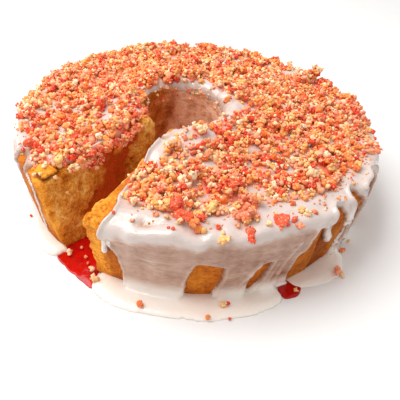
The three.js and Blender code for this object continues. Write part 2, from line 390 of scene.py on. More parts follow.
class Value:
    """A shader's number, which Python's operators combine."""

    def __init__(self, graph: "Graph", socket: bpy.types.NodeSocket) -> None:
        """Wraps a node's output socket."""
        self.graph = graph
        self.socket = socket

    def _math(self, operation: str, first: Any, second: Any) -> "Value":
        """Adds a Math node for two numbers."""
        return self.graph.value("ShaderNodeMath", {"operation": operation}, {0: first, 1: second})

    def __add__(self, other: Any) -> "Value":
        """Adds a number."""
        return self._math("ADD", self, other)

    def __radd__(self, other: Any) -> "Value":
        """Adds to a number."""
        return self._math("ADD", other, self)

    def __sub__(self, other: Any) -> "Value":
        """Takes a number away."""
        return self._math("SUBTRACT", self, other)

    def __rsub__(self, other: Any) -> "Value":
        """Takes this from a number."""
        return self._math("SUBTRACT", other, self)

    def __mul__(self, other: Any) -> "Value":
        """Multiplies by a number."""
        return self._math("MULTIPLY", self, other)

    def __rmul__(self, other: Any) -> "Value":
        """Multiplies a number."""
        return self._math("MULTIPLY", other, self)

    def rise(self, low: float, high: float) -> "Value":
        """Rises smoothly from 0 at low to 1 at high."""
        settings = {"interpolation_type": "SMOOTHSTEP"}
        return self.graph.value("ShaderNodeMapRange", settings, {0: self, 1: low, 2: high})


class Graph:
    """The node tree of one material, with a Principled shader at its end."""

    def __init__(self, name: str) -> None:
        """Starts a material with a Principled shader alone.

        Args:
            name: The material's name.
        """
        self.material = bpy.data.materials.new(name)
        self.material.use_nodes = True
        self.tree = self.material.node_tree
        self.shader = self.tree.nodes["Principled BSDF"]

    def node(self, kind: str, settings: dict[str, Any], sockets: dict[Any, Any]) -> bpy.types.Node:
        """Adds a node.

        Args:
            kind: Blender's name for the type of node.
            settings: The node's settings. A ramp's stops are its positions and colours.
            sockets: The values or links of its input sockets, by name or number.

        Returns:
            The new node.
        """
        made = self.tree.nodes.new(kind)
        for name, value in settings.items():
            if name == "stops":
                self._fill_ramp(made.color_ramp, value)
            else:
                setattr(made, name, value)
        for name, value in sockets.items():
            self.feed(made.inputs[name], value)
        return made

    @staticmethod
    def _fill_ramp(ramp: bpy.types.ColorRamp, stops: Sequence[tuple[float, Colour]]) -> None:
        """Gives a ramp its stops.

        Args:
            ramp: The ramp to fill.
            stops: Its positions and colours.
        """
        while len(ramp.elements) < len(stops):
            ramp.elements.new(1.0)
        for element, (position, colour) in zip(ramp.elements, stops):
            element.position = position
            element.color = (*colour, 1.0)

    def feed(self, socket: bpy.types.NodeSocket, value: Any) -> None:
        """Links a socket, or sets its value.

        Args:
            socket: The input socket.
            value: A number, a colour or an output to link.
        """
        if isinstance(value, Value):
            self.tree.links.new(value.socket, socket)
        elif isinstance(value, bpy.types.NodeSocket):
            self.tree.links.new(value, socket)
        elif socket.type == "RGBA":
            socket.default_value = (*value, 1.0)
        else:
            socket.default_value = value

    def value(self, kind: str, settings: dict[str, Any], sockets: dict[Any, Any]) -> Value:
        """Adds a node and returns its first output as a number."""
        return Value(self, self.node(kind, settings, sockets).outputs[0])

    def noted(self, name: str) -> Value:
        """Reads a number stored for each vertex."""
        return Value(self, self.node("ShaderNodeAttribute", {"attribute_name": name}, {}).outputs["Fac"])

    def tone(self, name: str) -> bpy.types.NodeSocket:
        """Reads a colour stored for each vertex."""
        return self.node("ShaderNodeAttribute", {"attribute_name": name}, {}).outputs["Color"]

    def place(self) -> bpy.types.NodeSocket:
        """Reads where a place lies on the piece."""
        return self.node("ShaderNodeTexCoord", {}, {}).outputs["Object"]

    def noise(
        self, size: float, detail: float = 3.0, roughness: float = 0.55, squeeze: Colour = (1.0, 1.0, 1.0)
    ) -> Value:
        """Adds noise in the piece's own coordinates.

        Args:
            size: The width of a lump of noise in millimetres.
            detail: How many finer layers it has.
            roughness: How strong the finer layers are.
            squeeze: How many times narrower its lumps are along each axis.

        Returns:
            The noise, about 0.5.
        """
        ends = {0: self.place(), 1: squeeze}
        squeezed = self.node("ShaderNodeVectorMath", {"operation": "MULTIPLY"}, ends)
        sockets = {"Vector": squeezed.outputs[0], "Scale": 1.0 / (size * MM)}
        sockets |= {"Detail": detail, "Roughness": roughness}
        return Value(self, self.node("ShaderNodeTexNoise", {}, sockets).outputs["Fac"])

    def cells(self, size: float) -> Value:
        """Adds the distance to the nearest of scattered points, so many millimetres apart."""
        sockets = {"Vector": self.place(), "Scale": 1.0 / (size * MM)}
        return Value(self, self.node("ShaderNodeTexVoronoi", {}, sockets).outputs["Distance"])

    def ramp(self, factor: Value, stops: Sequence[tuple[float, Colour]]) -> bpy.types.NodeSocket:
        """Turns a number into a colour."""
        return self.node("ShaderNodeValToRGB", {"stops": stops}, {0: factor}).outputs["Color"]

    def mix(self, factor: Any, first: Any, second: Any, blend: str = "MIX") -> bpy.types.NodeSocket:
        """Mixes two colours.

        Args:
            factor: The share of the second colour.
            first: A colour or its link.
            second: A colour or its link.
            blend: How the colours are combined.

        Returns:
            The mixed colour.
        """
        made = self.node("ShaderNodeMix", {"data_type": "RGBA", "blend_type": blend}, {})
        colours = [socket for socket in made.inputs if socket.type == "RGBA"]
        self.feed(made.inputs["Factor"], factor)
        self.feed(colours[0], first)
        self.feed(colours[1], second)
        return next(socket for socket in made.outputs if socket.type == "RGBA")

    def bump(self, height: Value, depth: float, strength: float = 1.0) -> None:
        """Gives the shader fine relief, whose heights of 0 to 1 span a depth in millimetres."""
        sockets = {"Height": height, "Distance": depth * MM, "Strength": strength}
        self.feed(self.shader.inputs["Normal"], self.node("ShaderNodeBump", {}, sockets).outputs[0])

    def set(self, **sockets: Any) -> None:
        """Sets or links the Principled shader's sockets, with underscores for spaces."""
        for name, value in sockets.items():
            self.feed(self.shader.inputs[name.replace("_", " ")], value)


@dataclass(frozen=True)
class CutFace:
    """One face of the slice's gap: its place along X, and how it turns and leans."""

    offset: float
    turn: float
    lean: float

    def at(self, y: Array, z: Array) -> Array:
        """Finds the face's place along X."""
        return self.offset + self.turn * y + self.lean * z


@dataclass(frozen=True)
class CakeForm:
    """The shape of the bare cake, a ring that baked a little uneven, and of the gap in it."""

    base_radius: float = 114.5
    widest_radius: float = 122.0
    shoulder_height: float = 44.0
    top_height: float = 51.5
    dip_depth: float = 3.5
    crown_height: float = 63.0
    foot_round: tuple[float, float] = (0.8, 4.6)
    shoulder_round: float = 12.0
    crown_round: float = 9.0
    rim_drop: float = 7.0
    hole_rim_radius: float = 27.5
    hole_base_radius: float = 32.0
    hole_centre: tuple[float, float] = (-7.6, -5.7)
    swells: tuple = ((2, 0.004, 0.9), (5, 0.003, 0.0))
    rises: tuple = ((1, 0.018, -1.4), (3, 0.008, 0.0))
    far: CutFace = CutFace(7.5, 0.177, -0.2)
    near: CutFace = CutFace(2.2, -0.13, -0.04)
    gap_inner_y: float = -14.0
    reach: float = 170.0
    slice_top: float = 100.0

    def outline(self, step: float) -> Array:
        """Draws half of the cake's section, from its foot over the top to the foot of its hole.

        Args:
            step: How far apart the points are.

        Returns:
            The points as radius and height.
        """
        rim, widest, base = self.hole_rim_radius, self.widest_radius, self.base_radius
        out, up = self.foot_round
        foot = (base + out, up)
        shoulder = (widest, self.shoulder_height)
        top = (widest - self.shoulder_round, self.top_height)
        dip = (rim + 0.55 * (widest - rim), self.top_height - self.dip_depth)
        crown = (rim + self.crown_round, self.crown_height - 1.0)
        in_hole = (rim, self.crown_height - self.rim_drop)
        legs = [
            ((base, 0.0), (base + 0.5 * out, 0.5 * up), foot),
            (foot, (widest - 1.5, 0.6 * self.shoulder_height), shoulder),
            (shoulder, (widest, self.top_height), top),
            (top, dip, crown),
            (crown, (rim, self.crown_height + 2.0), in_hole),
            (in_hole, (rim + 2.2, 28.0), (self.hole_base_radius, 0.0)),
        ]
        share = np.linspace(0.0, 1.0, 60)[:, None]
        drawn = [bend(*(np.array(point) for point in leg), share) for leg in legs]
        line = np.concatenate([drawn[0], *(leg[1:] for leg in drawn[1:])])
        return spaced(line, np.full(len(line), step))

    def baked(self, places: Array) -> Array:
        """Moves places of a true ring to where they lie in the uneven cake.

        Args:
            places: Places of the true ring.

        Returns:
            The same places in the cake.
        """
        x, y, z = places.T
        angle, radius = np.arctan2(y, x), np.hypot(x, y)
        drawn = 1.0 - smooth_rise(self.hole_base_radius, self.base_radius, radius)
        swell = 1.0 + sum(share * np.sin(waves * angle + phase) for waves, share, phase in self.swells)
        rise = 1.0 + sum(share * np.sin(waves * angle + phase) for waves, share, phase in self.rises)
        centre_x, centre_y = self.hole_centre
        return np.stack([x * swell + centre_x * drawn, y * swell + centre_y * drawn, z * rise], axis=1)

    def behind_cut(self, places: Array) -> tuple[Array, Array]:
        """Measures how far places lie in the cake behind the far and the near cut face.

        Args:
            places: Places on the cake.

        Returns:
            The depth behind the far face and behind the near one, large away from the gap.
        """
        x, y, z = places.T
        by_gap = y < self.gap_inner_y
        far = np.where(by_gap, self.far.at(y, z) - x, FAR_AWAY)
        near = np.where(by_gap, x - self.near.at(y, z), FAR_AWAY)
        return far, near

    def slice(self, bottom: float = -12.0, outer_y: float = -170.0) -> Piece:
        """Makes the missing slice, to cut with.

        Args:
            bottom: The slice's lowest height.
            outer_y: Its outer end along Y.

        Returns:
            The slice.
        """

        def corner(side: float, along: float, up: float) -> tuple[float, float, float]:
            """Places a corner of the slice."""
            y, z = outer_y if along < 0 else self.gap_inner_y, bottom if up < 0 else self.slice_top
            return ((self.far if side < 0 else self.near).at(y, z), y, z)

        return Bench.block("slice", corner)


def spaced(line: Array, steps: Array) -> Array:
    """Draws a line again with other steps between its points.

    Args:
        line: The line's points.
        steps: The step wanted at each of them.

    Returns:
        The new points.
    """
    lengths = np.hypot(*np.diff(line, axis=0).T)
    counted = np.concatenate([[0.0], np.cumsum(lengths / (0.5 * (steps[1:] + steps[:-1])))])
    wanted = np.linspace(0.0, counted[-1], max(int(round(counted[-1])), 2) + 1)
    return np.stack([np.interp(wanted, counted, line[:, i]) for i in range(line.shape[1])], axis=1)


def outward(line: Array) -> Array:
    """Finds the normals of a section's line.

    Args:
        line: Its points as radius and height.

    Returns:
        A normal of length 1 for each point.
    """
    along = np.gradient(line, axis=0)
    along /= np.hypot(*along.T)[:, None]
    return np.stack([along[:, 1], -along[:, 0]], axis=1)


@dataclass(frozen=True)
class CakeFinish:
    """Browned crust outside, and open golden crumb where the cake was cut."""

    crust_dark: Colour = from_screen(142, 62, 6)
    crust: Colour = from_screen(192, 100, 16)
    crust_light: Colour = from_screen(220, 138, 38)
    crumb_dark: Colour = from_screen(190, 106, 26)
    crumb: Colour = from_screen(222, 150, 60)
    crumb_light: Colour = from_screen(247, 198, 114)
    rind: Colour = from_screen(250, 168, 56)
    rind_dark: Colour = from_screen(212, 122, 28)
    # partly painted shadow: red-brown of the far cut where sauce soaked in and where the crumbs hanging over
    # it cast shadow
    soaked_and_shaded: Colour = from_screen(184, 72, 18)
    film: Colour = from_screen(250, 198, 164)
    film_dark: Colour = from_screen(222, 158, 122)
    # painted shade: the dark colour that the crust takes in the crease, the recess, the crack and the shaded
    # right side
    crease: Colour = from_screen(98, 32, 5)

    def material(self) -> bpy.types.Material:
        """Makes the material.

        Returns:
            The finish's material.
        """
        graph = Graph("baked_cake")
        cut = graph.noted("cut")
        rind = graph.noted("rind")
        patches = graph.noise(14.0, 4.0)
        specks = graph.noise(2.2, 4.0, 0.65)
        mottle = patches * 0.55 + specks * 0.45
        crust = graph.ramp(mottle, [(0.36, self.crust_dark), (0.5, self.crust), (0.66, self.crust_light)])
        crumb = graph.ramp(mottle, [(0.39, self.crumb_dark), (0.5, self.crumb), (0.61, self.crumb_light)])
        band = (1.0 - (rind + (specks - 0.5) * 6.0).rise(3.5, 8.0)) * 0.85
        rind = graph.mix(mottle.rise(0.4, 0.58), self.rind_dark, self.rind)
        # partly painted shadow: the far cut turns red-brown where sauce soaked in and where overhanging
        # crumbs shade it
        crumb = graph.mix(graph.noted("soaked_and_shaded"), graph.mix(band, crumb, rind), self.soaked_and_shaded)
        torn = graph.noted("torn")
        crust = graph.mix(torn * specks.rise(0.25, 0.5), crust, rind)
        wrinkles = graph.noise(6.0, 3.0, 0.6, (1.0, 1.0, 1.4))
        filmed = graph.noted("filmed")
        film = graph.mix(wrinkles.rise(0.36, 0.56), self.film_dark, self.film)
        crust = graph.mix((filmed + (patches - 0.5) * 1.1).rise(0.15, 0.95), crust, film)
        graph.set(
            # painted shade darkens the crust towards the crease colour
            Base_Color=graph.mix(graph.noted("painted_shade"), graph.mix(cut, crust, crumb), self.crease),
            Roughness=0.7 + cut * 0.15,
            Specular_IOR_Level=0.14,
            Subsurface_Weight=0.1,
            Subsurface_Radius=(1.0, 0.45, 0.15),
            Subsurface_Scale=0.004,
        )
        pores = graph.cells(1.5).rise(0.15, 0.55)
        relief = specks * (0.6 - filmed * 0.4) + pores * (0.15 + cut * 0.2) + wrinkles * filmed * 1.2
        graph.bump(relief, 1.3, 0.85)
        return graph.material


@dataclass
class CakeBody:
    """The bare cake with its slice taken out."""

    form: CakeForm
    finish: CakeFinish = CakeFinish()
    voxel: float = 1.15
    most_triangles: int = 180_000
    edge_rounding: int = 26
    worn_reach: float = 6.0
    worn_from: float = 2.5
    near_tear: tuple = (15.0, 9.0)
    near_tear_radius: tuple = (96.0, 102.0)
    far_tear: tuple = (17.0, 14.0)
    far_tear_height: tuple = (45.0, 48.0)
    crack_depth: float = 2.2
    crack_width: float = 1.3
    crack_reach: tuple = (13.0, 8.0)
    recess_depth: float = 1.4
    groove_depth: float = 2.4
    groove_width: float = 1.2
    soaked_and_shaded_depth: float = 6.0
    crease: tuple = ((0, 347.6), (10, 347), (24, 346.2), (34, 345.6))
    crack: tuple = ((-122, 48.8), (-116, 49.5), (-112.7, 48.9), (-109.4, 49.2), (-104.8, 49.5), (-100.5, 51))
    # partly painted light: from azimuth 165 to 300, where no icing ran, a share of 0.25 to 0.3 washes the
    # crust lighter against the shade of the icing above it
    films: tuple = (
        (0, 1), (115, 1), (130, 0.85), (145, 0.55), (165, 0.3), (250, 0.25), (300, 0.3), (330, 0.8),
        (360, 1),
    )
    # outline on the far cut, as Y and height, of the red-brown that is soaked sauce and painted shadow of
    # the crumbs above
    soaked_and_shaded: tuple = (
        (-81, 57), (-77, 47), (-75.5, 40), (-78, 34), (-86, 27), (-92, 18), (-70, 10), (-62, 28), (-58, 38),
        (-55, 44), (-51, 49), (-47, 59),
    )

    def build(self) -> Piece:
        """Bakes the ring and cuts the slice out of it.

        Returns:
            The cake.
        """
        piece = Bench.turned("cake_body", self.form.outline(1.5), 200)
        Bench.move(piece, self.form.baked(Bench.places(piece)))
        Bench.cut(piece, self.form.slice())
        Bench.finish(piece, "REMESH", mode="VOXEL", voxel_size=self.voxel * MM)
        self._round_edges(piece)
        self._roughen(piece)
        share = self.most_triangles / (2.0 * len(piece.data.polygons))
        if share < 1.0:
            Bench.finish(piece, "DECIMATE", ratio=share)
        self._mark(piece)
        Bench.smooth(piece)
        Bench.hand_over(piece, self.finish.material(), "cake", ["cake"])
        return piece

    def _round_edges(self, piece: Piece) -> None:
        """Wears the edges of the cut faces round.

        Args:
            piece: The cake.
        """
        places = Bench.places(piece)
        behind = np.minimum(*np.abs(self.form.behind_cut(places)))
        worn = piece.vertex_groups.new(name="worn")
        by_edge = (behind < self.worn_reach) & (places[:, 2] > self.worn_from)
        worn.add(np.flatnonzero(by_edge).tolist(), 1.0, "REPLACE")
        Bench.finish(piece, "SMOOTH", factor=0.5, iterations=self.edge_rounding, vertex_group="worn")
        piece.vertex_groups.clear()

    def _roughen(self, piece: Piece) -> None:
        """Gives the crust its lumps and the cut faces their open crumb.

        Args:
            piece: The cake.
        """
        places, normals = Bench.places(piece), Bench.normals(piece)
        cut = 1.0 - smooth_rise(0.6, 2.2, np.minimum(*np.abs(self.form.behind_cut(places))))
        lumps, grains, pits = SmoothNoise(3), SmoothNoise(4), SmoothNoise(5)
        crust = 0.45 * lumps.at(places, 11.0) + 0.22 * grains.at(places, 3.6)
        open_crumb = 1.1 * lumps.at(places, 8.0) + 0.8 * grains.at(places, 3.4)
        open_crumb -= 1.9 * smooth_rise(0.2, 0.6, pits.at(places, 4.4))
        ragged = np.maximum(cut, 0.55 * self._torn(places))
        relief = crust + ragged * (open_crumb - crust)
        relief = relief - self._recess(places)[0] - self.crack_depth * self._cracked(places)
        off_floor = smooth_rise(0.5, 3.0, places[:, 2])
        moved = places + normals * (relief * off_floor)[:, None]
        moved[:, 2] = np.where(places[:, 2] < 0.6, 0.0, np.maximum(moved[:, 2], 0.0))
        Bench.move(piece, moved)

    def _torn(self, places: Array) -> Array:
        """Finds how much of the crust tore off beside the cuts.

        Args:
            places: Places on the cake.

        Returns:
            A share from 0 to 1 for each.
        """
        far, near = self.form.behind_cut(places)
        radius = from_axis(places)
        by_near = smooth_rise(*self.near_tear, near) * smooth_rise(*self.near_tear_radius, radius)
        by_far = smooth_rise(*self.far_tear, far) * smooth_rise(*self.far_tear_height, places[:, 2])
        return np.maximum(np.where(near > 0.0, by_near, 0.0), np.where(far > 0.0, by_far, 0.0))

    def _cracked(self, places: Array) -> Array:
        """Finds how near places lie to the crack under the far cut's upper edge.

        Args:
            places: Places on the cake.

        Returns:
            A share for each, 1 in the crack.
        """
        far, _ = self.form.behind_cut(places)
        distance, _ = from_line(places[:, 1:], np.array(self.crack, float))
        width = self.crack_width + 0.6 * SmoothNoise(7).at(places, 4.0)
        return hump(distance, width) * smooth_rise(*self.crack_reach, np.abs(far))

    def _recess(self, places: Array) -> tuple[Array, Array]:
        """Finds where the crust lies back behind the crease in the bare place on the right.

        Args:
            places: Places on the cake.

        Returns:
            How deep the crust lies at each, and the share of painted shade that darkens it in the groove,
            beside it in the recess and over a stretch of the right side.
        """
        azimuth = azimuth_of(places[:, 0], places[:, 1])
        across = around(azimuth, 0.0) - around(looked_up(self.crease, places[:, 2]), 0.0)
        beside = smooth_rise(-0.4, 0.8, across) * smooth_rise(17.0, 12.0, across)
        on_side = (places[:, 2] < 44.0) & (from_axis(places) > 105.0)
        groove = hump(across, self.groove_width)
        upper = np.where(on_side, smooth_rise(42.0, 36.0, places[:, 2]), 0.0)
        # painted shade: the crust is darkened in the groove, in the recess beside it and over a stretch of
        # the right side that lies in shade
        shaded_side = smooth_rise(-34.0, -16.0, across) * smooth_rise(70.0, 30.0, across)
        deep = self.recess_depth * beside + self.groove_depth * groove
        shade_share = 0.22 * shaded_side + 0.22 * beside + 0.7 * groove
        return deep * upper, shade_share * upper

    def _filmed(self, places: Array) -> Array:
        """Finds how much icing ran down the hole's wall as a thin film, plus a wash of film colour as
        painted light on part of it.

        Args:
            places: Places on the cake.

        Returns:
            A share from 0 to 1 for each.
        """
        centre_x, centre_y = self.form.hole_centre
        across, along = places[:, 0] - centre_x, places[:, 1] - centre_y
        in_hole = smooth_rise(42.0, 36.0, np.hypot(across, along))
        return in_hole * looked_up(self.films, azimuth_of(across, along))

    def _mark(self, piece: Piece) -> None:
        """Stores which places are cut, torn, filmed, soaked and shadowed, or painted with shade, and their
        depth under the crust.

        Args:
            piece: The cake.
        """
        places = Bench.places(piece)
        far, near = self.form.behind_cut(places)
        Bench.note(piece, "filmed", self._filmed(places))
        # painted shade in the crack, the crease's groove, the recess beside it and on the right side,
        # darkening the crust towards the crease colour
        cracked = smooth_rise(0.25, 0.75, self._cracked(places))
        Bench.note(piece, "painted_shade", np.minimum(np.maximum(self._recess(places)[1], 0.85 * cracked), 1.0))
        Bench.note(piece, "cut", 1.0 - smooth_rise(1.2, 2.8, np.minimum(np.abs(far), np.abs(near))))
        Bench.note(piece, "torn", self._torn(places))
        # partly painted shadow: soaked sauce and the shadow of overhanging crumbs on the far cut
        from_soaked_and_shaded = outside_polygon(places[:, 1:], np.array(self.soaked_and_shaded, float))
        from_soaked_and_shaded = from_soaked_and_shaded + 2.5 * SmoothNoise(6).at(places, 5.0)
        soaked_and_shaded = smooth_rise(2.0, -2.0, from_soaked_and_shaded) * (np.abs(far) < self.soaked_and_shaded_depth)
        Bench.note(piece, "soaked_and_shaded", soaked_and_shaded)
        section = self.form.outline(3.0)
        radius = from_axis(places)
        middle = 0.5 * (self.form.base_radius + self.form.hole_base_radius)
        outer = np.interp(places[:, 2], section[:24, 1], section[:24, 0])
        under_side = np.where(radius > middle, outer - radius, FAR_AWAY)
        Bench.note(piece, "rind", np.maximum(under_side, 0.0))


@dataclass(frozen=True)
class IcingFinish:
    """Poured white icing, tan where it is thin enough for the crust to show through and darker there as
    painted shade.
    """

    white: Colour = from_screen(213, 198, 191)
    # partly painted shade: cloudy and thin icing show the tan crust through, and are made darker so that the
    # side sheets look shaded
    cloudy: Colour = from_screen(190, 152, 131)
    thin_and_shaded: Colour = from_screen(147, 96, 68)
    # partly painted light: the pools and drip lines take a brighter white than the icing on top, standing in
    # for light bounced onto them and the drips' sheen
    pooled: Colour = from_screen(255, 243, 232)
    dust: Colour = from_screen(248, 152, 104)
    dust_dark: Colour = from_screen(226, 96, 58)

    def material(self) -> bpy.types.Material:
        """Makes the material.

        Returns:
            The finish's material.
        """
        graph = Graph("poured_icing")
        deep = graph.noted("deep")
        clouds = graph.noise(8.0, 3.0)
        wrinkles = graph.noise(7.0, 3.0, 0.6, (1.0, 1.0, 3.6))
        fine = graph.noise(3.6, 3.0, 0.6, (1.0, 1.0, 2.6))
        shown = deep + (clouds - 0.5) * 0.9 + (wrinkles - 0.5) * 0.8 + (fine - 0.5) * 1.6
        # partly painted shade: thin and cloudy icing take darker tan colours that shade the side sheets
        colour = graph.mix(shown.rise(0.5, 2.4), self.thin_and_shaded, self.cloudy)
        colour = graph.mix(shown.rise(1.9, 3.6), colour, self.white)
        # partly painted light: pools and drip lines are brightened towards the pooled white
        colour = graph.mix(graph.noted("pooled"), colour, self.pooled)
        specks = graph.noise(2.4, 3.0, 0.6)
        dust = graph.mix(specks.rise(0.4, 0.62), self.dust_dark, self.dust)
        dusted = (graph.noted("dust") + (specks - 0.5) * 0.9).rise(0.35, 0.7)
        colour = graph.mix(dusted, colour, dust)
        graph.set(
            Base_Color=colour,
            Roughness=0.1 + clouds * 0.16 + dusted * 0.45,
            Subsurface_Weight=0.12,
            Subsurface_Radius=(1.0, 0.6, 0.4),
            Subsurface_Scale=0.001,
            Coat_Weight=0.4,
            Coat_Roughness=0.05,
        )
        graph.bump(wrinkles * 0.7 + fine * 0.5, 0.9, 0.5)
        return graph.material


@dataclass(frozen=True)
class BarePlace:
    """A place on the cake's side where the icing parted: its corners as azimuth and length climbed."""

    corners: tuple[tuple[float, float], ...]

    def outside(self, azimuth: Array, climb: Array) -> Array:
        """Measures how far places on the side lie outside it, negative inside."""
        places = on_the_side(azimuth, climb, self.corners[0][0])
        return outside_polygon(places, line_on_the_side(self.corners))


@dataclass(frozen=True)
class Drip:
    """A run of icing down the side: its line as azimuth and length climbed, half-width, height and bulb."""

    line: tuple[tuple[float, float], ...]
    half_width: float
    height: float
    bulb: float = 0.0

    def _nearest(self, azimuth: Array, climb: Array) -> tuple[Array, Array]:
        """Measures how far places lie from the run's line, and how far along it, from 0 to 1."""
        places = on_the_side(azimuth, climb, self.line[0][0])
        return from_line(places, line_on_the_side(self.line))

    def whiteness(self, azimuth: Array, climb: Array) -> Array:
        """Finds how white the run looks, which grows from its start."""
        distance, share = self._nearest(azimuth, climb)
        return smooth_rise(1.0, 0.5, distance / self.half_width) * smooth_rise(0.0, 0.6, share)

    def thickness(self, azimuth: Array, climb: Array) -> Array:
        """Finds how thick the run is, or a number below 0 away from it.

        Args:
            azimuth: The places' azimuths.
            climb: The length climbed to each.

        Returns:
            The thickness at each.
        """
        distance, share = self._nearest(azimuth, climb)
        swollen = 1.0 + self.bulb * smooth_rise(0.55, 0.95, share)
        inside = 1.0 - (distance / (self.half_width * swollen)) ** 2
        return np.where(inside > 0.0, self.height * swollen * np.sqrt(np.maximum(inside, 0.0)), -FAR_AWAY)


@dataclass(frozen=True)
class Pool:
    """Icing on the ground: azimuths along its edge with how far it reaches at each, and its thickness."""

    edge: tuple[tuple[float, float], ...]
    thickness: float
    corner: float = 5.0

    def inside(self, azimuth: Array, radius: Array) -> Array:
        """Measures how far places on the ground lie inside the pool, negative outside.

        Args:
            azimuth: The places' azimuths.
            radius: The distance of each from the axis.

        Returns:
            The distance from the edge of each.
        """
        first, last = self.edge[0][0], self.edge[-1][0]
        middle = 0.5 * (first + last)
        across = around(azimuth, middle)
        half = (last - middle) * SIDE_MM_PER_DEGREE
        reach = looked_up([(around(np.array(at), middle), distance) for at, distance in self.edge], across)
        to_edge, to_end = reach - radius, half - np.abs(across)
        wide = self.corner
        corner = wide - np.hypot(np.maximum(wide - to_edge, 0.0), np.maximum(wide - to_end, 0.0))
        return np.minimum(np.minimum(to_edge, to_end), corner)


BARE_PLACES = tuple(BarePlace(corners) for corners in (
    (
        (268, -9), (288.5, -9), (288.4, 5), (288.4, 17), (287.6, 27.5), (286.6, 33), (285.6, 36),
        (282.6, 39), (281, 40), (280.2, 44.5), (279.4, 49), (276, 65), (268, 65),
    ),
    ((282.4, 45.4), (283.2, 45.2), (284.2, 42), (283.8, 41.2), (282.8, 43.6)),
    (
        (306.5, -9), (306.6, 5), (307, 18), (308.3, 28), (309.4, 34), (311.2, 34.6), (313.6, 34),
        (316.3, 31.8), (316.1, 20.6), (314.6, 8), (313, -9),
    ),
    (
        (324.2, 4), (325.8, 5), (327.5, 13), (328.9, 23), (329.4, 31.4), (328.8, 32), (326.9, 30.8),
        (325.3, 25), (324.5, 14),
    ),
    (
        (338.6, -9), (337.8, 3), (337, 16.5), (338.2, 29.5), (340.6, 35), (341.4, 42), (342.6, 46),
        (344, 46), (346.2, 41), (346.6, 37), (349, 31.5), (351, 31.5), (353, 25), (356, 19), (358, 10),
        (357.8, -9),
    ),
    (
        (349.6, 36), (348.4, 41), (348.2, 46.8), (349.4, 50.9), (351.2, 52.2), (352.6, 50.8), (353, 47),
        (354.8, 42), (357.2, 34), (359.5, 25), (359, 18), (356, 17), (353.6, 20), (352.4, 25), (351, 31),
    ),
    (
        (358.8, 53.5), (357.8, 51), (358, 48.5), (358.2, 46), (359.2, 39), (360.2, 32), (361, 24),
        (361.6, 16), (362, 8), (362, -2), (366, -2), (367, 10), (367.5, 25), (367.2, 36), (365, 42),
        (363.8, 45), (361.4, 49.8), (361, 53.6), (360.2, 54.6),
    ),
    (
        (364.8, 45.5), (365.4, 48.8), (367, 49.6), (369.8, 49.8), (371.4, 51), (372.8, 51.8), (374.4, 50.2),
        (375.4, 46), (373, 42), (370, 40), (367, 42),
    ),
    (
        (268, -9), (268, 55), (262, 53.5), (258, 52.2), (255.5, 51.6), (254.6, 48.5), (253.4, 46.4),
        (250.2, 46.4), (248.4, 47), (247.8, 50.3), (246, 52), (243.8, 51.8), (243, 49), (240.5, 44),
        (237, 30), (236, -9),
    ),
    ((18, -9), (17, 20), (19, 34), (22, 37), (25, 33), (25.5, 15), (26, -9)),
    ((36, 3), (35, 18), (37.5, 29), (41, 31), (43, 20), (42, 5)),
    ((55, -9), (56, 22), (58.5, 41), (62, 43), (64.5, 37), (66, 18), (68, -9)),
    ((80, -9), (81, 12), (83.5, 23), (87, 24), (88.5, 14), (89, -9)),
    ((101, -9), (100, 18), (102.5, 38), (106, 45.6), (109.5, 43), (110.5, 26), (110, -9)),
    ((121, 6), (122, 22), (125, 33), (128, 31), (128, 16), (125, 5)),
    ((142, 2), (141, 24), (144.5, 39), (148, 40), (150, 26), (149, 3)),
    ((164, 3), (165.5, 15), (168.5, 27), (172, 28), (173.5, 18), (171, 4)),
    ((186, 3), (185, 22), (188, 42), (192, 44), (195, 32), (194, 10)),
    ((208, -9), (209, 20), (212.5, 35), (217, 36), (219.5, 24), (220, -9)),
    ((227, -9), (228, 15), (230, 24), (232.5, 22), (233, -9)),
))

DRIPS = (
    Drip(((284.4, 42), (284.3, 36), (284.4, 31)), 1.7, 2.4, 0.35),
    Drip(((286.0, 41), (286.1, 37)), 1.3, 1.8, 0.2),
    Drip((
        (250.2, 47.4), (253.4, 46.8), (255.8, 44), (256.6, 38), (256.8, 28), (256, 16.7), (255, 6),
        (254.4, 0),
    ), 0.75, 1.1),
    Drip(((355.4, 50), (355.4, 47), (355.8, 43), (356.6, 38), (357.2, 34)), 4.0, 3.6, -0.7),
    Drip(((345.6, 44), (346.4, 40), (347.4, 36), (348.2, 32.5)), 1.8, 2.3, 0.25),
    Drip(((357.2, 34), (357.8, 24), (356.8, 17), (357.6, 8), (358.2, -2)), 1.1, 1.4),
    Drip(((28.5, 42), (28.9, 30), (29, 14)), 2.0, 2.6, 0.35),
    Drip(((61.4, 47), (61.6, 36), (61.2, 26)), 1.6, 2.2, 0.4),
    Drip(((105.5, 48.6), (105.2, 38), (105.6, 30)), 1.8, 2.4, 0.4),
    Drip(((146, 44.6), (146.2, 34), (146, 27)), 1.5, 2.0, 0.4),
    Drip(((190.6, 46.6), (190.2, 34), (190.8, 22)), 1.7, 2.2, 0.4),
    Drip(((214.6, 40), (214.2, 30), (214.6, 18)), 1.6, 2.2, 0.4),
)

RIDGES = (
    Drip(((320.2, 2), (322, 14), (324.2, 26), (326, 33)), 1.5, 0.9),
    Drip(((333.5, 4), (333, 20), (334.4, 33), (337, 42)), 1.6, 0.8),
    Drip(((331.2, 3), (330.8, 16), (331.8, 27)), 1.3, 0.6),
)

POOLS = (
    Pool((
        (279.8, 126), (284, 129.5), (290, 131.5), (298, 132), (310, 132.5), (323, 131.8), (330, 130),
        (334, 127),
    ), 2.9),
    Pool(((338.5, 122), (343, 126), (349, 130), (354, 130.5), (358, 127), (362, 122)), 1.8),
    Pool(((108, 122), (118, 126), (135, 128), (155, 129), (175, 128), (192, 127.5), (206, 122)), 3.4),
    Pool(((244.5, 118), (248, 122.4), (252.6, 124.3), (258.8, 125.4), (263, 124.6), (265.8, 122)), 3.8),
)


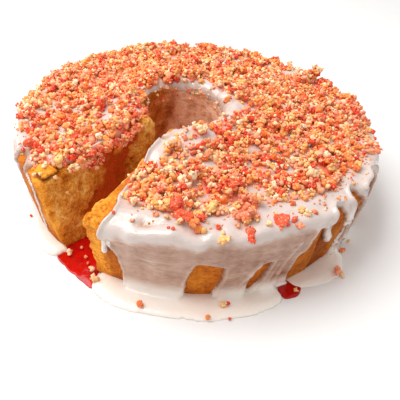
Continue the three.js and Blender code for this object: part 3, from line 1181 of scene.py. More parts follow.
@dataclass(frozen=True)
class CoatSpots:
    """Places that the icing is poured on."""

    azimuth: Array
    radius: Array
    height: Array
    climb: Array
    gap: Array
    out: Array
    upright: Array
    into_hole: Array
    place: Array
    on_side: Array
    on_ground: Array


@dataclass(frozen=True)
class CoatSection:
    """The section that the icing is poured on.

    It has points as radius and height, their normals, how far each stands off the corner at the cake's
    foot, the length climbed from there, and the length down into the hole from its rim.
    """

    base: Array
    normal: Array
    gap: Array
    climb: Array
    into_hole: Array
    side_radius: float = 100.0
    side_climb: float = 70.0
    ground_height: float = 0.4

    def at(self, row: Array, azimuth: Array, place: Array) -> CoatSpots:
        """Finds what is known of places on the section's rows.

        Args:
            row: The section's row of each place.
            azimuth: Its azimuth.
            place: Where it lies on the baked cake.

        Returns:
            The places.
        """
        radius, height = self.base[row].T
        out, upright = self.normal[row].T
        climb = self.climb[row]
        on_ground = (radius > CakeForm.base_radius) & (height < self.ground_height)
        on_side = (radius > self.side_radius) & (climb < self.side_climb) & ~on_ground
        gap, into = self.gap[row], self.into_hole[row]
        return CoatSpots(azimuth, radius, height, climb, gap, out, upright, into, place, on_side, on_ground)


@dataclass
class Icing:
    """The icing: a coat poured over the top that hangs down the side and lies in pools at the foot."""

    form: CakeForm
    finish: IcingFinish = IcingFinish()
    columns: int = 800
    top_thickness: float = 3.0
    lip_thickness: float = 3.4
    sheet_thickness: float = 1.5
    pool_edge: float = 6.5
    ground_reach: float = 139.0
    fillet: float = 5.2
    hidden: float = 1.4
    bead: float = 2.4
    rim: tuple = (0.6, 1.7, 1.1)
    roll: tuple = (2.8, 2.4)
    hollow: tuple = (8.5, 3.0)
    lip_blend: tuple = (-3.6, 2.6)
    hole_zone: float = 45.0
    corner_reach: float = 34.0
    corner_y: float = -100.0
    foot_gap: tuple = (2.0, 4.0)
    inner_line: tuple = ((39, 27), (60, 40), (100, 38), (104, 10), (104, -7))
    dimple: tuple = (294.6, 118.0)
    core_inset: float = 0.7
    fewest_vertices: int = 400
    top_blend: tuple = (54.0, 66.0)
    pool_thinning: tuple = (120.0, 131.0)
    shoulder_fade: tuple = (44.0, 50.0)
    near_setbacks: tuple = (
        (-124, 10), (-116, 13), (-110, 14.5), (-104, 12.5), (-99, 8.5), (-88, 6.5), (-75, 5), (-68, 4),
        (-60, 0.8), (-50, 0.5), (-42, 0.8), (-38, 3), (-30, 4),
    )
    far_setbacks: tuple = (
        (-124, 16), (-114.8, 15), (-107, 13.5), (-105.2, 11.5), (-104, 10), (-102, 9), (-99.5, 7),
        (-97, 3.5), (-90, 2.4), (-80, 2), (-60, 1.6), (-48, 2.5), (-40, 5), (-30, 5),
    )
    hole_edges: tuple = (
        (0, 3), (30, 3), (60, 1), (90, 0), (120, -1), (140, -2), (165, -5), (215, -6), (245, -7), (285, -9),
        (304, -9), (310, 4), (320, 5), (334, 0), (360, 3),
    )
    lip_feet: tuple = (
        (0, 47.6), (15, 48.6), (40, 48.4), (60, 45), (205, 45), (226, 51), (252, 52), (266, 48), (276, 41),
        (287, 43.4), (289.2, 45.2), (294.4, 46.6), (298.4, 48.2), (303.2, 49.4), (305.4, 49), (307.4, 46.6),
        (309, 46), (310.2, 46.4), (311.4, 48), (312.8, 49.6), (315.8, 49.6), (318.8, 49), (322, 49),
        (329.4, 49.6), (335.8, 50.4), (341, 48.6), (346, 47.4), (360, 47.6),
    )
    hollows: tuple = ((0, 0.3), (284, 0.3), (291, 1.0), (306, 1.0), (316, 0.4), (360, 0.3))
    drip_white: float = 0.55
    drip_depth: float = 8.0
    shoulder_white: float = 0.5
    pool_fade: tuple = (15.0, 2.5)
    taper: float = 8.0
    hole_white: float = 2.4
    curve_height: float = 10.0
    curve_reach: float = 9.0
    curve_corner: float = 3.0
    curve_top: float = 3.7
    noise: SmoothNoise = field(default_factory=lambda: SmoothNoise(11))
    ripple: SmoothNoise = field(default_factory=lambda: SmoothNoise(12))

    def build(self, cake: Piece) -> Piece:
        """Pours the icing.

        Args:
            cake: The cake that the icing lies on.

        Returns:
            The icing.
        """
        section, inner = self._section()
        rows = len(section.base) + len(inner)
        grid = {"x_subdivisions": self.columns, "y_subdivisions": rows, "size": 2.0}
        piece = Bench.start("icing_coat", bpy.ops.mesh.primitive_grid_add, **grid)
        unit = Bench.places(piece) * MM
        column = np.rint((unit[:, 0] + 1.0) * 0.5 * self.columns).astype(int)
        row = np.rint((unit[:, 1] + 1.0) * 0.5 * rows).astype(int) % rows
        azimuth = 360.0 * (column % self.columns) / self.columns
        line = np.concatenate([section.base, inner])[row]
        places = self.form.baked(round_the_axis(azimuth, line[:, 0], line[:, 1]))
        coat = row < len(section.base)
        spots = section.at(row[coat], azimuth[coat], places[coat])
        out = round_the_axis(spots.azimuth, spots.out, spots.upright)
        poured = places[coat] + out * self._thickness(spots)[:, None]
        places[coat] = self._pooled(spots, poured)
        Bench.move(piece, places)
        Bench.weld(piece)
        self._trim(piece)
        self._mark(piece, cake)
        Bench.smooth(piece)
        pools = [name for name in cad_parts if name.startswith("icing_pool")]
        Bench.hand_over(piece, self.finish.material(), "icing", ["icing", *pools])
        return piece

    def _section(self) -> tuple[CoatSection, Array]:
        """Draws the section that the icing is poured on.

        Returns:
            The section from the ground outside the cake, over it, into its hole, and points deep in the
            cake that close it.
        """
        outline = self.form.outline(0.5)
        foot, high = self.form.base_radius, self.fillet
        share = np.linspace(0.0, 1.0, 30)[:, None]
        corners = (foot + high, 0.0), (foot, 0.0), (foot + 0.85, high)
        fillet = bend(*(np.array(corner) for corner in corners), share)
        ground = np.stack([np.linspace(self.ground_reach, foot + high, 30), np.zeros(30)], axis=1)
        upper = outline[(outline[:, 1] > high) & ((outline[:, 0] > 60) | (outline[:, 1] > 27.0))]
        line = np.concatenate([ground, fillet[1:], upper])
        radius = line[:, 0]
        steps = 0.85 + 2.2 * smooth_rise(108.0, 96.0, radius) - 1.7 * smooth_rise(48.0, 38.0, radius)
        base = spaced(line, steps)
        normal = outward(base)
        widest_gap, gap_reach = self.foot_gap
        gap = widest_gap * hump(np.hypot(base[:, 0] - foot, base[:, 1]), gap_reach)
        length = np.concatenate([[0.0], np.cumsum(np.hypot(*np.diff(base, axis=0).T))])
        at_wall = int(np.argmax(base[:, 1] > high))
        climb = np.where(base[:, 1] < high, base[:, 1], base[at_wall, 1] + length - length[at_wall])
        from_rim = np.abs(base[:, 1] - self.form.crown_height + self.form.rim_drop)
        rim = int(np.argmin(from_rim + (base[:, 0] > self.form.hole_base_radius) * FAR_AWAY))
        inner = np.array([*self.inner_line, (self.ground_reach, self.inner_line[-1][1])], float)
        return CoatSection(base, normal, gap, climb, climb - climb[rim]), inner

    def _covered(self, spots: CoatSpots) -> Array:
        """Measures how far places lie inside the icing's edge, negative where the cake is bare.

        Args:
            spots: The places that the icing is poured on.

        Returns:
            The distance of each.
        """
        wobble = self.noise.at(spots.place, 6.0) * 0.55 + self.noise.at(spots.place, 2.5) * 0.2
        side = np.min([bare.outside(spots.azimuth, spots.climb) for bare in BARE_PLACES], axis=0)
        far, near = self.form.behind_cut(spots.place)
        y = spots.place[:, 1]
        by_far = far - looked_up(self.far_setbacks, y)
        by_near = near - looked_up(self.near_setbacks, y)
        cut = np.where(y < self.form.gap_inner_y, np.maximum(by_far, by_near), FAR_AWAY)
        edge = looked_up(self.hole_edges, spots.azimuth)
        ragged = 2.5 * self.noise.at(spots.place, (9.0, 9.0, 60.0)) + 1.5 * self.ripple.at(spots.place, 4.0)
        in_hole = edge + ragged - spots.into_hole
        coat = np.where(spots.on_side, side, np.where(spots.radius < self.hole_zone, in_hole, FAR_AWAY))
        coat = np.where(spots.on_ground, -FAR_AWAY, coat)
        return np.minimum(coat, cut) + wobble

    def _thickness(self, spots: CoatSpots) -> Array:
        """Finds how thick the icing is, negative where it is hidden under the bare cake.

        Args:
            spots: The places that the icing is poured on.

        Returns:
            The thickness at each.
        """
        covered = self._covered(spots)
        far, _ = self.form.behind_cut(spots.place)
        by_corner = (far > -1.0) & (far < self.corner_reach) & (spots.place[:, 1] < self.corner_y)
        tapered = (spots.radius < self.hole_zone) | by_corner
        share = np.clip(covered / np.where(tapered, self.taper, self.bead), 0.0, 1.0)
        rounded = np.where(tapered, share, np.sqrt(1.0 - (1.0 - share) ** 2))
        rim_rise, rim_inset, rim_width = self.rim
        rim = 1.0 + np.where(tapered, 0.0, rim_rise) * hump(covered - rim_inset, rim_width)
        coat = self._full_thickness(spots) * rounded * rim - spots.gap * (1.0 - rounded)
        bare = -spots.gap - np.minimum(-2.0 * covered, self.hidden)
        thick = np.where(covered > 0.0, coat, bare)
        for drip in DRIPS:
            hung = drip.thickness(spots.azimuth, spots.climb)
            thick = np.where(spots.on_side, np.maximum(thick, hung), thick)
        for ridge in RIDGES:
            raised = np.maximum(ridge.thickness(spots.azimuth, spots.climb), 0.0)
            thick = np.where(spots.on_side & (thick > 0.8), thick + raised, thick)
        return thick

    def _full_thickness(self, spots: CoatSpots) -> Array:
        """Finds how thick the icing on the cake is away from its edges.

        Args:
            spots: The places that the icing is poured on.

        Returns:
            The thickness at each.
        """
        ring, climb = spots.place, spots.climb
        swell = self.noise.at(ring, 15.0)
        top = self.top_thickness + 0.5 * swell + 0.3 * self.ripple.at(ring, 6.0)
        lip_foot = looked_up(self.lip_feet, spots.azimuth) + 0.5 * self.noise.at(ring, (11.0, 11.0, 400.0))
        (roll_above, roll_width), (hollow_above, hollow_width) = self.roll, self.hollow
        roll = hump(climb - lip_foot - roll_above, roll_width) * (0.8 + 0.9 * self.ripple.at(ring, 13.0))
        hollow = hump(climb - lip_foot - hollow_above, hollow_width) * looked_up(self.hollows, spots.azimuth)
        lumps = 0.6 * swell + 0.8 * self.ripple.at(ring, 8.0) + 0.3 * self.noise.at(ring, 4.5)
        lip = self.lip_thickness + lumps + roll - hollow
        streaks = 0.4 * self.noise.at(ring, (7.0, 7.0, 70.0)) + 0.25 * self.noise.at(ring, (3.2, 3.2, 50.0))
        ripples = 0.24 * self.ripple.at(ring, (13.0, 13.0, 2.4))
        ripples = (ripples + 0.14 * self.noise.at(ring, (7.0, 7.0, 1.7))) * smooth_rise(8.0, 20.0, climb)
        sheet = self.sheet_thickness + streaks + ripples + 0.9 * smooth_rise(14.0, 2.0, climb)
        below, above = self.lip_blend
        side = sheet + (lip - sheet) * smooth_rise(lip_foot + below, lip_foot + above, climb)
        cake = side + (top - side) * smooth_rise(*self.top_blend, climb)
        into = smooth_rise(-13.0, 0.0, spots.into_hole + 3.0 * self.noise.at(ring, 8.0))
        knobs = 1.1 * self.ripple.at(ring, 5.0) + 0.5 * self.noise.at(ring, 2.8)
        knobs = knobs * smooth_rise(43.0, 35.0, spots.radius)
        cake = np.where(spots.radius < 60.0, (top + 0.4 + knobs) * (1.0 - 0.72 * into), cake)
        dimple_azimuth, dimple_radius = self.dimple
        from_dimple = around(spots.azimuth, dimple_azimuth) ** 2 + (spots.radius - dimple_radius) ** 2
        dimple = 1.1 * np.exp(-(from_dimple / 14.0))
        return cake - dimple * (spots.height > 46.0)

    def _pooled(self, spots: CoatSpots, places: Array) -> Array:
        """Raises places at the cake's foot to the level of the pool that they lie in.

        Args:
            spots: The places that the icing is poured on.
            places: Where the icing's surface lies.

        Returns:
            Where it lies with the pools.
        """
        wobble = self.noise.at(spots.place, 13.0) * 1.3 + self.noise.at(spots.place, 6.0) * 0.3
        radius = from_axis(places)
        inside = np.array([pool.inside(spots.azimuth, radius) for pool in POOLS])
        thickness = np.array([pool.thickness for pool in POOLS])[np.argmax(inside, axis=0)]
        inside = np.max(inside, axis=0)
        share = np.clip((inside + wobble) / self.pool_edge, 0.0, 1.0)
        level = thickness + 0.35 * self.noise.at(spots.place, 22.0)
        level = (level - 0.8 * smooth_rise(*self.pool_thinning, radius)) * np.sqrt(1.0 - (1.0 - share) ** 2)
        by_foot = (spots.radius > self.form.base_radius - 1.0) & (spots.height < 6.0) & (share > 0.0)
        raised = places.copy()
        raised[:, 2] = np.where(by_foot, np.maximum(places[:, 2], level), places[:, 2])
        return self._curved(spots, raised, level, smooth_rise(0.0, 0.6, share))

    def _curved(self, spots: CoatSpots, places: Array, level: Array, pooled: Array) -> Array:
        """Lets the sheets of icing run out into the pools in a smooth curve.

        Args:
            spots: The places that the icing is poured on.
            places: Where its surface lies.
            level: The pool's level at each place.
            pooled: How much of a pool lies at each place, from 0 to 1.

        Returns:
            Where its surface lies with the curve.
        """
        foot, high, reach = self.form.base_radius, self.curve_height, self.curve_reach
        share = np.clip((reach - spots.radius + foot + spots.height) / (reach + high - 2.0), 0.0, 1.0)
        radius = bend(foot + reach, foot + self.curve_corner, foot + self.curve_top, share)
        height = (1 - share**2) * level + share**2 * high
        at_top = np.full(len(places), high)
        sheet = np.min([bare.outside(spots.azimuth, at_top) for bare in BARE_PLACES], axis=0)
        on_curve = (spots.radius > foot - 1.0) & (spots.radius < foot + reach) & (spots.height < high)
        weight = pooled * smooth_rise(0.5, 4.0, sheet)
        weight = weight * smooth_rise(high, high - 4.0, spots.height) * on_curve
        uneven = from_axis(spots.place) / spots.radius
        stretch = 1.0 + weight * (radius * uneven / from_axis(places) - 1.0)
        curved = places * np.stack([stretch, stretch, np.ones(len(places))], axis=1)
        curved[:, 2] += weight * (height - places[:, 2])
        return curved

    def _trim(self, piece: Piece) -> None:
        """Takes away what lies in the gap, in the cake and in the ground.

        Args:
            piece: The icing.
        """
        Bench.cut(piece, self.form.slice(self.fillet + 0.4))
        Bench.cut(piece, self.form.slice(outer_y=2.0 - self.form.base_radius))
        outline = self.form.outline(2.5)
        shrunk = outline - self.core_inset * outward(outline)
        shrunk[0, 1] = shrunk[-1, 1] = -6.0
        core = Bench.turned("core", shrunk, 120)
        Bench.move(core, self.form.baked(Bench.places(core)))
        Bench.cut(piece, core)
        reach = self.form.reach
        ground = Bench.block("ground", lambda x, y, z: (x * reach, y * reach, 0.0 if z > 0 else -20.0))
        Bench.cut(piece, ground)
        Bench.keep_islands(piece, self.fewest_vertices)

    def _mark(self, piece: Piece, cake: Piece) -> None:
        """Stores how deep the icing looks at each place, and how much of the brighter pooled white it takes,
        partly painted light.

        Args:
            piece: The icing.
            cake: The cake that it lies on.
        """
        tree = BVHTree.FromObject(cake, bpy.context.evaluated_depsgraph_get())
        places = Bench.places(piece)
        deep = np.array([tree.find_nearest(Vector(place * MM))[3] for place in places]) / MM
        azimuth = azimuth_of(places[:, 0], places[:, 1])
        white = np.max([drip.whiteness(azimuth, places[:, 2]) for drip in DRIPS], axis=0)
        beside = from_axis(places) - self.form.base_radius
        pool = smooth_rise(-1.5, 0.5, beside) * smooth_rise(*self.pool_fade, places[:, 2])
        deep = np.where(beside < -70.0, np.maximum(deep, self.hole_white), deep)
        upper = self.shoulder_white * smooth_rise(*self.shoulder_fade, places[:, 2])
        Bench.note(piece, "deep", deep + upper + self.drip_depth * white)
        # partly painted light: drip lines and pools are marked for the brighter pooled white
        Bench.note(piece, "pooled", np.maximum(pool, self.drip_white * white))


class CrumbKind(Enum):
    """The kinds of crumb in the topping, each a piece of its own."""

    RED = "crumbs_red"
    ORANGE = "crumbs_orange"
    CORAL = "crumbs_coral"
    GOLD = "crumbs_gold"
    CREAM = "crumbs_cream"


@dataclass(frozen=True)
class CrumbFinish:
    """A crumb's dry, grainy finish: the screen colours of crumbs of a kind, and their share of all."""

    kind: CrumbKind
    screen_tones: tuple[tuple[int, int, int], ...]
    share: float
    sugar: Colour = from_screen(255, 238, 220)

    def tones(self) -> Array:
        """Gives the kind's colours, one a row."""
        return np.array([from_screen(*tone) for tone in self.screen_tones])

    def material(self) -> bpy.types.Material:
        """Makes the material.

        Returns:
            The finish's material.
        """
        graph = Graph(self.kind.value)
        grain = graph.noise(1.1, 3.0, 0.6)
        tone = graph.tone("tone")
        deeper = graph.mix(0.5, tone, tone, "MULTIPLY")
        dusted = graph.mix(grain.rise(0.53, 0.7) * 0.56, tone, self.sugar)
        graph.set(
            Base_Color=graph.mix((1.0 - grain.rise(0.32, 0.48)) * 0.35, dusted, deeper),
            Roughness=0.5 + grain * 0.3,
            Specular_IOR_Level=0.15,
        )
        graph.bump(grain, 0.5, 0.7)
        return graph.material


CRUMB_FINISHES = (
    CrumbFinish(CrumbKind.RED, ((240, 90, 52), (230, 68, 40), (246, 112, 74)), 0.15),
    CrumbFinish(CrumbKind.ORANGE, ((252, 142, 70), (254, 162, 92), (248, 124, 58)), 0.21),
    CrumbFinish(CrumbKind.CORAL, ((253, 168, 124), (254, 184, 144), (249, 148, 108)), 0.22),
    CrumbFinish(CrumbKind.GOLD, ((255, 193, 118), (255, 205, 138), (255, 180, 98)), 0.25),
    CrumbFinish(CrumbKind.CREAM, ((255, 217, 170), (255, 208, 154), (255, 229, 194)), 0.17),
)


class HeightMap:
    """How high the cake, its icing and the crumbs on it stand, on a grid of cells."""

    def __init__(self, pieces: Sequence[Piece], cell: float = 0.8, reach: float = 136.0) -> None:
        """Measures the pieces from above.

        Args:
            pieces: What crumbs may land on.
            cell: The width of a cell.
            reach: How far from the axis the grid goes.
        """
        self.cell, self.reach = cell, reach
        self.count = int(2 * reach / cell) + 1
        graph = bpy.context.evaluated_depsgraph_get()
        self.trees = [BVHTree.FromObject(piece, graph) for piece in pieces]
        self.bare = np.zeros((self.count, self.count))
        for i, j in np.ndindex(self.count, self.count):
            self.bare[i, j] = self.below(i * cell - reach, j * cell - reach, OVERHEAD)
        self.heights = self.bare.copy()

    def below(self, x: float, y: float, height: float) -> float:
        """Finds how high what lies below a place stands, 0 for the ground."""
        hits = [tree.ray_cast(Vector((x, y, height)) * MM, DOWN)[0] for tree in self.trees]
        return max([hit.z / MM for hit in hits if hit is not None], default=0.0)

    def beside(self, place: Array, way: Array) -> float:
        """Finds how far it is from a place to what lies that way."""
        hits = [tree.ray_cast(Vector(place) * MM, Vector(way))[3] for tree in self.trees]
        return min([hit / MM for hit in hits if hit is not None], default=FAR_AWAY)

    def _cell(self, place: Array) -> tuple[int, int]:
        """Finds the cell of a place."""
        i, j = np.rint((place[:2] + self.reach) / self.cell).astype(int)
        return i, j

    def drop(self, places: Array, radius: float, sink: float) -> Array:
        """Lands a round crumb on the lowest pile of a few places, where later crumbs then lie on it.

        Args:
            places: The places to choose from, along X and Y.
            radius: Its radius.
            sink: The share of its radius that it sinks in.

        Returns:
            Where its middle comes to lie.
        """
        cells = [self._cell(place) for place in places]
        off_cake = [FAR_AWAY if self.bare[cell] < ON_CAKE else 0.0 for cell in cells]
        piles = [self.heights[cell] - self.bare[cell] + off for cell, off in zip(cells, off_cake)]
        x, y = places[int(np.argmin(piles))]
        i, j = self._cell(np.array([x, y]))
        wide = max(int(math.ceil(radius / self.cell)), 1)
        patch = self.heights[i - wide : i + wide + 1, j - wide : j + wide + 1]
        steps = np.arange(-wide, wide + 1) * self.cell
        inside = radius**2 - steps[:, None] ** 2 - steps[None, :] ** 2
        half = np.sqrt(np.maximum(inside, 0.0))
        under = inside >= 0.0
        middle = float(np.quantile((patch + half)[under], 0.55)) - sink * radius
        patch[under] = np.maximum(patch[under], middle + 0.7 * half[under])
        return np.array([x, y, middle])


@dataclass
class Lumps:
    """Lumps of crumb: their places, radii, kinds as numbers, and tones."""

    places: Array
    radii: Array
    kinds: Array
    tones: Array

    def of_kind(self, kind: int) -> "Lumps":
        """Picks the lumps of one kind."""
        chosen = self.kinds == kind
        return Lumps(self.places[chosen], self.radii[chosen], self.kinds[chosen], self.tones[chosen])

    @staticmethod
    def joined(batches: Sequence["Lumps"]) -> "Lumps":
        """Puts batches of lumps together."""
        columns = zip(*((batch.places, batch.radii, batch.kinds, batch.tones) for batch in batches))
        return Lumps(*(np.concatenate(column) for column in columns))


@dataclass(frozen=True)
class Landmark:
    """A crumb that stands out: its azimuth, distance from the axis, radius and kind."""

    azimuth: float
    distance: float
    radius: float
    kind: CrumbKind


RED, ORANGE, CORAL, GOLD, CREAM = CrumbKind

LANDMARKS = tuple(Landmark(*row) for row in (
    (331.9, 115.6, 6.2, RED), (322.4, 121.5, 3.5, RED), (315.1, 121.5, 3.8, GOLD),
    (322.1, 108.4, 7.8, CORAL), (322.5, 118.4, 3.4, RED), (315.3, 117.0, 2.2, CREAM),
    (354.9, 95.0, 4.6, CREAM), (301.4, 117.0, 1.6, RED), (302.7, 117.6, 1.7, RED),
    (313.1, 100.7, 5.6, GOLD), (303.8, 107.8, 4.6, RED), (305.9, 111.2, 4.0, RED),
    (307.6, 113.7, 3.7, ORANGE), (309.2, 115.5, 3.3, ORANGE), (310.5, 116.6, 2.6, GOLD),
    (300.0, 101.6, 4.6, GOLD), (302.4, 103.4, 6.2, RED), (335.9, 116.6, 2.6, RED),
    (339.9, 111.4, 3.2, GOLD), (342.6, 116.6, 3.0, CORAL), (254.3, 118.9, 2.2, CREAM),
    (254.3, 111.9, 3.0, CREAM), (258.5, 109.6, 2.0, CREAM), (260.3, 104.3, 1.8, GOLD),
    (256.1, 116.2, 2.0, GOLD), (244.0, 114.1, 4.2, RED), (244.6, 58.0, 4.4, GOLD),
    (244.0, 77.6, 4.8, ORANGE), (255.2, 103.6, 4.6, GOLD), (252.0, 87.1, 2.8, CORAL),
))

FALLEN = tuple(Landmark(*row) for row in (
    (295.6, 128.6, 2.4, ORANGE), (316.9, 124.6, 2.6, CREAM), (318.2, 123.6, 1.8, RED),
    (312.6, 131.8, 2.2, ORANGE), (318.0, 131.9, 1.3, RED), (338.3, 125.2, 2.2, GOLD),
    (352.9, 128.8, 3.4, CORAL), (353.6, 132.6, 2.2, CREAM), (2.4, 121.9, 2.2, ORANGE),
    (7.9, 121.6, 1.6, GOLD), (281.0, 121.8, 3.0, CREAM), (279.4, 119.6, 1.9, CREAM),
    (267.2, 114.7, 2.6, CREAM), (268.2, 106.8, 1.7, CORAL), (272.6, 111.0, 1.8, CORAL),
    (277.5, 116.2, 2.2, CREAM), (244.0, 120.2, 1.3, RED), (275.0, 113.6, 1.4, RED),
))


@dataclass
class Topping:
    """The crunchy crumbs on the icing, and the few that fell to the cake's foot."""

    form: CakeForm
    seed: int = 21
    sizes: tuple = ((2.8, 4.8, 280), (1.9, 3.2, 2100), (0.8, 1.6, 3000))
    sink: float = 0.55
    pool_clearance: float = 7.0
    largest_lump: float = 2.6
    smallest_grainy: float = 1.6
    lumps_in_cluster: tuple = (4, 20)
    lump_share: float = 2.0
    largest_core: float = 4.4
    grains_on_lump: int = 3
    mixing: float = 0.18
    finest: float = 1.35
    shade: tuple = (1.0, 0.68, 0.39)
    shapes: int = 10
    limits: tuple = (
        (0, 108), (4.4, 106), (12.4, 105), (17, 110), (21, 118), (26, 122), (226, 122), (236, 117),
        (244, 114), (258, 112), (270, 112), (276, 103), (284, 101), (288, 103), (294.6, 105.5),
        (299.3, 107), (303, 112), (306.5, 116), (308.5, 114), (310, 104.5), (317, 103.5), (322.5, 106),
        (326.8, 106), (329.8, 101), (336, 101), (343.6, 103), (349.6, 106.5), (356.8, 109), (360, 108),
    )
    strays: float = 0.05
    dusting: float = 0.72
    clear_spots: tuple = (
        (277, 60, 6), (280, 53, 6), (284, 47, 5), (281.5, 99, 6), (320, 38, 4), (235.8, 76, 4),
        (230.8, 66, 4), (237, 92, 4), (285, 103, 5), (41, 36, 6), (357, 114, 3), (289.5, 117, 7),
        (349.6, 114, 3), (14, 119, 3), (313.4, 45, 4), (338.6, 111, 3), (339, 119, 3),
    )
    narrow_rim: float = 36.0
    rim_strays: tuple = (8.0, 2.0)
    rim_edge: float = 28.5
    rims: tuple = (
        (0, 33), (12, 37), (25, 41), (38, 41), (48, 36), (60, 32.5), (72, 32), (95, 32), (125, 32.5),
        (145, 31.5), (160, 30), (200, 29.5), (235, 29.5), (260, 32), (280, 40), (302, 40), (314, 35),
        (330, 32), (345, 32), (360, 33),
    )
    near_clear: tuple = (
        (-124, 14), (-104, 13), (-98, 13), (-92, 9), (-86, 7.5), (-75, 6), (-68, 6), (-63, 6.5), (-58, 8),
        (-50, 9.5), (-44, 8.5), (-38, 7.5), (-30, 7), (-14, 7),
    )
    speck_crowding: float = 2.2
    speck_sink: float = 0.3
    specks: tuple = ((344, 378, 103, 120, 150), (285, 344, 101, 116, 50), (228, 252, 110, 121, 30))
    in_hole: tuple = (60, 255, 46)
    hole_depth: float = 11.0
    hole_crowding: float = 1.6
    hole_reach: float = 45.0
    spills: tuple = (
        (-98, 1.5), (-92, 3), (-88, 5), (-84, 8), (-77, 9.5), (-73, 4), (-67, 3.5), (-62, 6), (-57, 4),
        (-50, 3), (-44, 1),
    )
    spilled: int = 170
    spill_edge: float = 52.0
    pale_spills: float = -88.0
    tone_range: tuple = (0.9, 1.08)

    def build(self, icing: Piece, ground: Sequence[Piece]) -> None:
        """Scatters the crumbs, the largest first, and drops the ones that stand out on top of them.

        Args:
            icing: The icing, which their dust lies on.
            ground: What the crumbs land on.
        """
        self.chance = np.random.default_rng(self.seed)
        self.patches = SmoothNoise(self.seed)
        self.heights = HeightMap(ground)
        batches = [self._clusters(*self._fallen(FALLEN)), self._spilled(), self._specked(), self._stuck()]
        for low, high, count in self.sizes:
            places = self._scattered(count)
            radii = self.chance.uniform(low, high, count)
            kinds = self._kinds(places)
            spread = self.chance.normal(0.0, 1.2, (count, 4, 2))
            spread[:, 0] = 0.0
            landed = np.array([
                self.heights.drop(place + around_it, radius, self.sink)
                for place, around_it, radius in zip(places, spread, radii)
            ])
            on_cake = landed[:, 2] > ON_CAKE
            landed, radii, kinds = landed[on_cake], radii[on_cake], kinds[on_cake]
            if low > self.largest_lump:
                batches.append(self._clusters(landed, radii, kinds))
            elif low > self.smallest_grainy:
                batches.append(self._grainy(landed, radii, kinds))
            else:
                batches.append(Lumps(landed, radii, kinds, self._tones(kinds)))
        batches.append(self._clusters(*self._landed(LANDMARKS)))
        lumps = Lumps.joined(batches)
        for kind, finish in enumerate(CRUMB_FINISHES):
            self._join(lumps.of_kind(kind), finish)
        self._dust(icing)

    def _spilled(self) -> Lumps:
        """Hangs crumbs over the upper edge of the far cut.

        Returns:
            The crumbs' lumps.
        """
        first, last = self.spills[0][0], self.spills[-1][0]
        y = self.chance.uniform(first, last, self.spilled)
        drop = self.chance.uniform(-0.3, 1.0, self.spilled) * looked_up(self.spills, y)
        edge = self.form.far.at(y, self.spill_edge)
        top = np.array([self.heights.below(x - 2.5, along, OVERHEAD) for x, along in zip(edge, y)])
        z = top - drop
        radii = self.chance.uniform(1.2, 2.7, self.spilled)
        places = np.stack([self.form.far.at(y, z) + 0.1 * radii, y, z], axis=1)
        kinds = self._kinds(places[:, :2])
        return self._grainy(places, radii, np.where(y > self.pale_spills, np.minimum(kinds, 2), kinds))

    def _specked(self) -> Lumps:
        """Sprinkles fine specks over the icing's lip.

        Returns:
            The specks.
        """
        flat = []
        for first, last, inner, outer, count in self.specks:
            distance = inner + (outer - inner) * self.chance.uniform(0.0, 1.0, count) ** self.speck_crowding
            azimuth = self.chance.uniform(first, last, count)
            flat.append(round_the_axis(azimuth, distance, 0.0 * distance)[:, :2])
        flat = np.concatenate(flat)
        radii = self.chance.uniform(0.35, 1.0, len(flat))
        landed = self._dropped(flat, radii, self.speck_sink)
        on_cake = landed[:, 2] > ON_CAKE
        kinds = np.clip(self._kinds(flat), 1, 3)[on_cake]
        return Lumps(landed[on_cake], radii[on_cake], kinds, self._tones(kinds))

    def _stuck(self) -> Lumps:
        """Sticks crumbs to the icing that hangs in the hole.

        Returns:
            The crumbs' lumps.
        """
        first, last, count = self.in_hole
        azimuth = np.radians(self.chance.uniform(first, last, count))
        down = self.hole_depth * self.chance.uniform(0.0, 1.0, count) ** self.hole_crowding
        height = self.form.crown_height - 1.0 - down
        radii = self.chance.uniform(0.8, 1.9, count)
        ways = np.stack([np.cos(azimuth), np.sin(azimuth), 0.0 * azimuth], axis=1)
        starts = np.column_stack([np.tile(self.form.hole_centre, (count, 1)), height])
        reach = np.array([self.heights.beside(start, way) for start, way in zip(starts, ways)])
        places = starts + ways * (reach - 0.15 * radii)[:, None]
        held = reach < self.hole_reach
        return self._grainy(places[held], radii[held], self._kinds(places[held, :2]))

    def _dust(self, icing: Piece) -> None:
        """Stores how thickly fine dust from the crumbs lies on the icing.

        Args:
            icing: The icing.
        """
        places = Bench.places(icing)
        on_top = smooth_rise(46.0, 51.0, places[:, 2])
        Bench.note(icing, "dust", self.dusting * self._wanted(places[:, :2]) * on_top)

    def _grainy(self, places: Array, radii: Array, kinds: Array) -> Lumps:
        """Makes each crumb of a lump with grains stuck to it.

        Args:
            places: The middles of the crumbs.
            radii: Their radii.
            kinds: Their kinds as numbers.

        Returns:
            The lumps and grains.
        """
        tones = self._tones(kinds)
        each = self.grains_on_lump
        ways = self.chance.normal(size=(len(places) * each, 3))
        ways[:, 2] = np.abs(ways[:, 2]) + 0.2
        ways /= np.linalg.norm(ways, axis=1)[:, None]
        wide = np.repeat(radii, each)
        grains = np.repeat(places, each, axis=0) + ways * (0.75 * wide)[:, None]
        sizes = np.minimum(self.chance.uniform(0.3, 0.54, len(wide)) * wide, self.finest)
        shades = np.repeat(tones, each, axis=0) * self.chance.uniform(0.9, 1.1, (len(wide), 1))
        stuck = Lumps(grains, sizes, np.repeat(kinds, each), self._mixed(np.clip(shades, 0.0, 1.0)))
        return Lumps.joined([Lumps(places, 0.85 * radii, kinds, tones), stuck])

    def _landed(self, marks: Sequence[Landmark]) -> tuple[Array, Array, Array]:
        """Drops the crumbs that stand out onto the cake."""
        places, radii, kinds = self._marked(marks)
        return self._dropped(places[:, :2], 0.85 * radii, self.sink), radii, kinds

